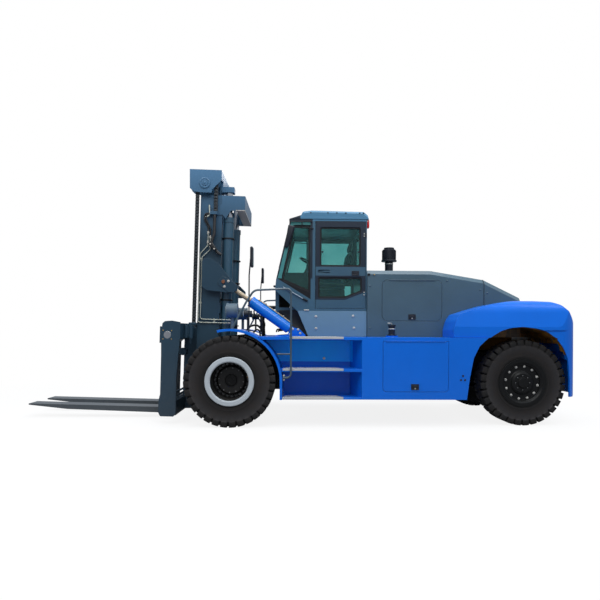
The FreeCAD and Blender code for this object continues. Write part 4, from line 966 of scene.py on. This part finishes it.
squab = pad("seat_squab", from_axle(-1.560, 0, 2.186), (0.520, 0.480, 0.088), -3, 0.012)
pad("seat_back", from_axle(-1.852, 0, 2.512), (0.500, 0.460, 0.082), 79.5, 0.012)
pad("seat_headrest", from_axle(-1.912, 0, 2.866), (0.145, 0.270, 0.068), 79, 0.008)
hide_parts("seat_pads")
for name, side in SIDES:
    piping = line(side, (-1.30, 0.243, 2.19), (-1.32, 0.247, 2.215), (-1.56, 0.249, 2.206),
                  (-1.80, 0.247, 2.198))
    armrest = line(side, (-1.83, 0.270, 2.42), (-1.78, 0.285, 2.445), (-1.60, 0.290, 2.440),
                   (-1.52, 0.285, 2.425))
    tube("seat_%s_piping" % name, piping, 0.005, seat_plastic, "chassis")
    tube("seat_%s_armrest" % name, armrest, 0.026, seat_plastic, "chassis")
levers = drum("console_levers", 0.006, 0.110, 10, (0, 0, 0.055))
sink(levers, UP, (-0.008, 0))
draw_out(0, 0, 0.020)
bpy.ops.transform.resize(value=(1.25, 1.25, 1))
draw_out(0, 0, 0.016)
inset((0.006, 0.004))
spread(levers, [facing(from_axle(-0.850, y, 2.290), (-0.3, 0, 1)) for y in (-0.14, -0.19, -0.24)])
settle(levers, seat_plastic, "chassis")

# ---- Work lamps and valve hoses ----------------------------------------------------------------
# Round lamps in pressed drums on posts, with clear ribbed lenses in black rims.
# Wire-braided rubber hoses rise from the control valve, each ending in a zinc swivel nut.
lamp_shell = paint("lamp_shell", (0.085, 0.125, 0.160), rough=0.36, dust=0.02, shine=0.3,
                   patch=areas(((0.007, 0.010, 0.016), behind(-0.080))))
finish_nodes(lamp_shell, "work_lamps")
lens_glass = paint("lens_glass", (0.55, 0.60, 0.62), rough=0.06, coat=0.8, dust=0.0, wear=0.0, shine=0.6)
for name, side in SIDES:
    for part, x, z, radius in (("head", 0.1125, 1.739, 0.106), ("small", -0.1575, 1.686, 0.052)):
        lens = drum("%s_%s_lens" % (name, part), radius, 0.006, 48, from_axle(x, side * 0.905, z), ALONG_X)
        finish(lens, -BACK, [(radius * 0.13, rise) for rise in (0.0034, 0.0016) * 3], lens_glass, "chassis")
hose_rubber, hose_shader, hose_place = blank("hose_rubber")
braid = node(hose_rubber, "TexWave", hose_place, Scale=60.0, Distortion=2.0,
             bands_direction="DIAGONAL").outputs["Fac"]
hose_tone = ramp(hose_rubber, braid, (0.0, (0.004, 0.004, 0.005)), (1.0, (0.014, 0.014, 0.016)))
plug(hose_shader, Base_Color=hose_tone, Roughness=0.55,
     Normal=node(hose_rubber, "Bump", Strength=0.2, Distance=0.001, Height=braid))
finish_nodes(hose_rubber, "valve_hoses", "mast_hoses")
HIGH_PORT = 1.215
LOW_PORT = 1.130
ports = [(-0.127, 0.350, LOW_PORT), (-0.428, 0.350, 1.274), (-0.260, 0.240, HIGH_PORT),
         (-0.260, 0.180, HIGH_PORT), (-0.389, 0.240, LOW_PORT), (-0.389, 0.180, LOW_PORT)]
ports += [(x, y, z) for x, z in ((-0.205, HIGH_PORT), (-0.110, LOW_PORT)) for y in (0.080, -0.060, -0.240)]
bolts("hose_swivel_nuts", 0.024, 0.026, [facing(from_axle(*port), UP) for port in ports], pale_bolt,
      "chassis", washer=1.12)

# ---- Mast, chains and carriage -----------------------------------------------------------------
# Rolled channels and welded plates in dark slate-blue. Leaf chains of steel plates on pins run
# over the sheaves; cross pipes are zinc-plated, and strap clamps hold hoses to the lift barrels.
pivot = Vector(joint["mast_tilt"]["pos_m"])
MAST_LEAN = math.radians(1.4)
UPRIGHT = Matrix.Translation((pivot.x, 0, pivot.z)) @ Matrix.Rotation(-MAST_LEAN, 4, "Y")
# A pale beige patch painted under the head of the outer mast.
pale_beige_underside = areas(((0.34, 0.32, 0.30), (-BACK, 0.790), (BACK, -0.950), higher(3.335), lower(3.368),
                     *within(0.750)))


def painted_light_head_and_beige_patch(made, place, last):
    """A paler tone painted in high up as painted light on the mast head, and a pale beige patch under the
    head of the outer mast.
    """
    height = node(made, "SeparateXYZ", place).outputs["Z"]
    # Painted light: the mast is painted paler towards its head, in place of the light that falls on it there.
    rise = node(made, "MapRange", height, From_Min=2.9, From_Max=4.0, To_Max=0.85)
    return pale_beige_underside(made, place, over(made, last, rise, (0.060, 0.165, 0.300)))


mast_paint = paint("mast_paint", (0.012, 0.038, 0.064), rough=0.40, coat=0.1, dust=0.06, shine=0.3,
                   patch=painted_light_head_and_beige_patch)
carriage_paint = paint("carriage_paint", (0.013, 0.039, 0.066), rough=0.42, coat=0.1, dust=0.08, shine=0.3)
barrel_paint = paint("barrel_paint", (0.026, 0.070, 0.110), rough=0.30, coat=0.3, dust=0.03, shine=0.4)
# The forks' paler colour and heavy edge wear are partly wear and partly painted highlight, standing in for
# sky light on their top edges.
fork_paint_and_sheen = paint("fork_paint_and_sheen", (0.040, 0.056, 0.070), rough=0.32, dust=0.10, wear=0.9, shine=0.7)
chrome = paint("chrome", (0.62, 0.63, 0.65), rough=0.12, metal=1.0, dust=0.0, wear=0.0)
chain_steel = paint("chain_steel", (0.040, 0.046, 0.052), rough=0.35, metal=0.5, dust=0.05)
zinc_pipe = paint("zinc_pipe", (0.42, 0.44, 0.38), rough=0.32, metal=0.5, dust=0.03, wear=0.1)
finish_nodes(mast_paint, "outer_mast", "inner_mast")
finish_nodes(carriage_paint, "carriage")
finish_nodes(barrel_paint, "lift_barrels")
finish_nodes(fork_paint_and_sheen, "left_fork", "right_fork")
finish_nodes(chrome, "lift_rods", "fork_shafts")
finish_nodes(zinc_pipe, "mast_pipes")


def on_mast(*places):
    """Places given in the upright mast's own frame, leaned back with it."""
    return [UPRIGHT @ place for place in places]


def mast_side(side, y, *spots):
    """Places on the mast's outer face, facing outwards."""
    return on_mast(*[facing((x, side * y, z), ACROSS * side) for x, z in spots])


PITCH = 0.052
SHEAVE = Vector((0.298, 0, 3.213))
WRAP = 0.148
REAR_RUN = SHEAVE.x - WRAP
FRONT_RUN = SHEAVE.x + WRAP
REAR_FOOT = 2.775
FRONT_FOOT = 0.965
CHAIN_SIDE = 0.700
WRAP_LINKS = 10
COVER = (0.752, 0.778)
COVER_HOLES = (-0.064, 0.064)
HOSE_LANE = 0.680


def chain_link(name):
    """Two outer and two inner plates on a pin, one pitch of leaf chain, standing along Z."""
    pin = drum(name, 0.010, 0.044, 8, turn=ALONG_Y)
    sink(pin, ACROSS, (0.0015, 0.0010), where="ends")
    plates = []
    for number, (y, z) in enumerate(((-0.0165, 0), (0.0165, 0), (-0.006, PITCH / 2), (0.006, PITCH / 2))):
        plate = slab("%s_plate_%d" % (name, number), (0.062, 0.0052, 0.066), (0, y, z))
        bpy.ops.object.mode_set(mode="EDIT")
        bpy.ops.mesh.select_all(action="SELECT")
        bpy.ops.mesh.bisect(plane_co=(0, 0, z), plane_no=(0, 0, 1))
        sink(plate, UP, where="ends")
        bpy.ops.transform.resize(value=(0.75, 1, 1))
        plates.append(plate)
    return unite(pin, *plates)


def straight_chain(name, x, y, foot):
    """A run of chain from its anchor up to the sheave; it spans two bodies and is left on none."""
    steps = [foot + 0.020 + number * PITCH for number in range(int((SHEAVE.z - foot) / PITCH))]
    run = chain_link(name)
    spread(run, on_mast(*[Matrix.Translation((x, y, z)) for z in steps]))
    return settle(run, chain_steel, None)


for name, side in SIDES:
    y = side * CHAIN_SIDE
    rear = straight_chain(name + "_rear_chain", REAR_RUN, y, REAR_FOOT)
    fore = straight_chain(name + "_front_chain", FRONT_RUN, y, FRONT_FOOT)
    bends = []
    for number in range(WRAP_LINKS):
        turn = math.pi * number / (WRAP_LINKS - 1)
        spot = (SHEAVE.x - WRAP * math.cos(turn), y, SHEAVE.z + WRAP * math.sin(turn))
        bends.append(Matrix.Translation(spot) @ Matrix.Rotation(turn, 4, "Y"))
    over_top = spread(chain_link(name + "_top_chain"), on_mast(*bends))
    settle(over_top, chain_steel, "inner_mast")
    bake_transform(rear)
    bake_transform(fore)
    wheel = drum(name + "_chain_sheave", WRAP - 0.030, 0.046, 56)
    finish(wheel, UP, ((-0.037, 0), (0.004, 0.004), (0.030, 0), (0.005, -0.003), (0.050, 0), (0.004, 0.003)),
           chain_steel, "inner_mast", where="ends",
           places=on_mast(facing((SHEAVE.x, y, SHEAVE.z), ACROSS)))
    finish(slab(name + "_chain_anchor_block", (0.112, 0.060, 0.036), (0.468, y, 0.958)), UP,
           ((0.006, 0.004),), carriage_paint, "carriage", soft=(0.005,), places=[UPRIGHT])
    if side > 0:
        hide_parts("rear_chains")
        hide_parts("front_chains")
        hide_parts("chain_sheaves")
    finish(drum(name + "_sheave_cap", 0.088, 0.010, 48, (0, 0, 0.005)), UP,
           ((0.004, 0.002), (0.018, 0), (0.004, -0.005), (0.016, 0), (0.004, 0.008), (0.022, 0),
            (0.003, 0.004), (0.006, 0.001)), mast_paint, "inner_mast",
           places=mast_side(side, 0.756, (0.328, SHEAVE.z)))
    lift_y = side * (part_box("lift_barrels")[1].y - 0.098)
    finish(drum(name + "_barrel_straps", 0.0985, 0.022, 40), UP, ((0.003, 0.002),), seal_rubber, "mast",
           where="round",
           places=on_mast(*[Matrix.Translation((-0.050, lift_y, z))
                            for z in ((2.36, 1.36) if side > 0 else (2.13, 1.72, 0.95))]))
    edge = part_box("carriage")[1].y
    finish(slab(name + "_shaft_cover", (0.230, 0.250, 0.012), (0, 0, 0.006)), UP,
           ((0.012, 0), (0.004, -0.003), (0.055, 0), (0.004, 0.004)), carriage_paint, "carriage",
           soft=(0.010, 3), places=mast_side(side, edge - 0.014, COVER))
    holes = [(COVER[0] + x, COVER[1] + z) for x in COVER_HOLES for z in COVER_HOLES]
    bolts(name + "_shaft_cover_bolts", 0.010, 0.008, mast_side(side, edge - 0.006, *holes), brass, "carriage",
          washer=1.4)
    bolts(name + "_tilt_plate_bolts", 0.014, 0.010, mast_side(side, 0.782, (-0.095, 1.653), (-0.037, 1.565)),
          pale_bolt, "mast")
    bolts(name + "_chain_anchor_nuts", 0.024, 0.022, on_mast(facing((0.492, y, 0.880), -UP)), pale_bolt,
          "carriage", washer=1.3, stud=0.040)
fittings = [((x, HOSE_LANE, z), UP)
            for x, z in ((0.262, 2.420), (0.225, 2.350), (0.262, 2.270), (0.225, 2.200))]
fittings += [((-0.100, HOSE_LANE, 0.985), BACK), ((-0.110, HOSE_LANE, 1.037), BACK)]
bolts("hose_end_nuts", 0.015, 0.030, on_mast(*[facing(place, aim) for place, aim in fittings]), pale_bolt,
      "mast", washer=1.15, stud=0.012)
for name, side in SIDES:
    tube(name + "_head_elbow", [UPRIGHT @ Vector((x, side * 0.700, z)) for x, z in
                                ((0.252, 2.873), (0.251, 2.793), (0.240, 2.737), (0.259, 2.690),
                                 (0.310, 2.678))], 0.012, zinc_pipe, "mast")
    slanted = Matrix.Translation((0.180, side * 0.752, 2.200)) @ Matrix.Rotation(math.radians(-48), 4, "Y")
    finish(slab(name + "_hose_clamp", (0.150, 0.030, 0.052)), ACROSS, ((0.008, 0.003),), seal_rubber, "mast",
           soft=(0.006,), places=on_mast(slanted), where="ends")
    bolts(name + "_hose_clamp_bolts", 0.009, 0.008,
          on_mast(*[facing(slanted @ Vector((x, side * 0.017, 0)), ACROSS * side) for x in (-0.050, 0.050)]),
          pale_bolt, "mast")

# ---- Tilt cylinders ----------------------------------------------------------------------------
# Blue steel barrels with cream-painted rods, hung between the deck brackets and the mast plates.
# A rigid pipe feeds the rod end of each, and two hoses loop up to each barrel from the deck.
STRAIGHT_END = 0.060
tilt_blue = paint("tilt_blue", (0.0, 0.150, 0.58), rough=0.22, coat=0.5, dust=0.01, grain=0.04, shine=0.35)
rod_cream = paint("rod_cream", (0.36, 0.29, 0.20), rough=0.30, metal=0.3, dust=0.02)
pin_rust = paint("pin_rust", (0.16, 0.055, 0.022), rough=0.6, dust=0.0)
pipe_cream = paint("pipe_cream", (0.50, 0.40, 0.27), rough=0.4, metal=0.2, dust=0.02)
finish_nodes(tilt_blue, "left_tilt_barrel", "right_tilt_barrel")
finish_nodes(rod_cream, "left_tilt_rod", "right_tilt_rod")
for name, side in SIDES:
    body = name + "_tilt_barrel"
    eye = Vector(joint[name + "_tilt_swing"]["pos_m"])
    pin = UPRIGHT @ Vector((-0.015, eye.y, 1.643))
    along = (pin - eye).normalized()
    up = Vector((-along.z, 0, along.x))

    def on_barrel(distance, rise, across):
        return eye + along * distance + up * rise + ACROSS * side * across

    finish(drum(name + "_tilt_pin_caps", 0.028, 0.010, 28, (0, 0, 0.005)), UP,
           ((0.004, 0.002), (0.010, 0), (0.002, -0.002)), pin_rust, "mast",
           places=[facing((pin.x, side * 0.788, pin.z), ACROSS * side)])
    feed = ((0.780, 0.070, 0.030), (0.790, 0.092, 0.040), (0.700, 0.096, 0.045), (0.220, 0.094, 0.045),
            (0.160, 0.092, 0.045))
    tube(name + "_tilt_feed_pipe", [on_barrel(*point) for point in feed], 0.008, pipe_cream, body)
    bolts(name + "_tilt_pipe_clips", 0.012, 0.012,
          [facing(on_barrel(distance, 0.100, 0.045), up) for distance in (0.300, 0.640)], pale_bolt, body,
          washer=1.5)
    gland = drum(name + "_tilt_gland_ring", 0.060, 0.012, 40, (0, 0, 0.006))
    sink(gland, UP, (0.006, 0.003), (0.014, 0), (0.003, -0.003))
    bpy.ops.mesh.delete(type="FACE")
    spread(gland, [facing(on_barrel(0.867, 0, 0), along)])
    settle(gland, pin_rust, body)
    for part, foot, distance in (("front", -0.40, 0.740), ("rear", -0.66, 0.230)):
        start = from_axle(foot, side * 0.560, 1.400)
        end = on_barrel(distance, -0.078, -0.040)
        middle = (start + end) / 2 + Vector((-0.060, side * 0.030, 0))
        route = [start, start + UP * STRAIGHT_END, middle, end - up * STRAIGHT_END, end]
        hose = tube("%s_tilt_%s_hose" % (name, part), route, 0.012, hose_rubber, None)
        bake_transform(hose)
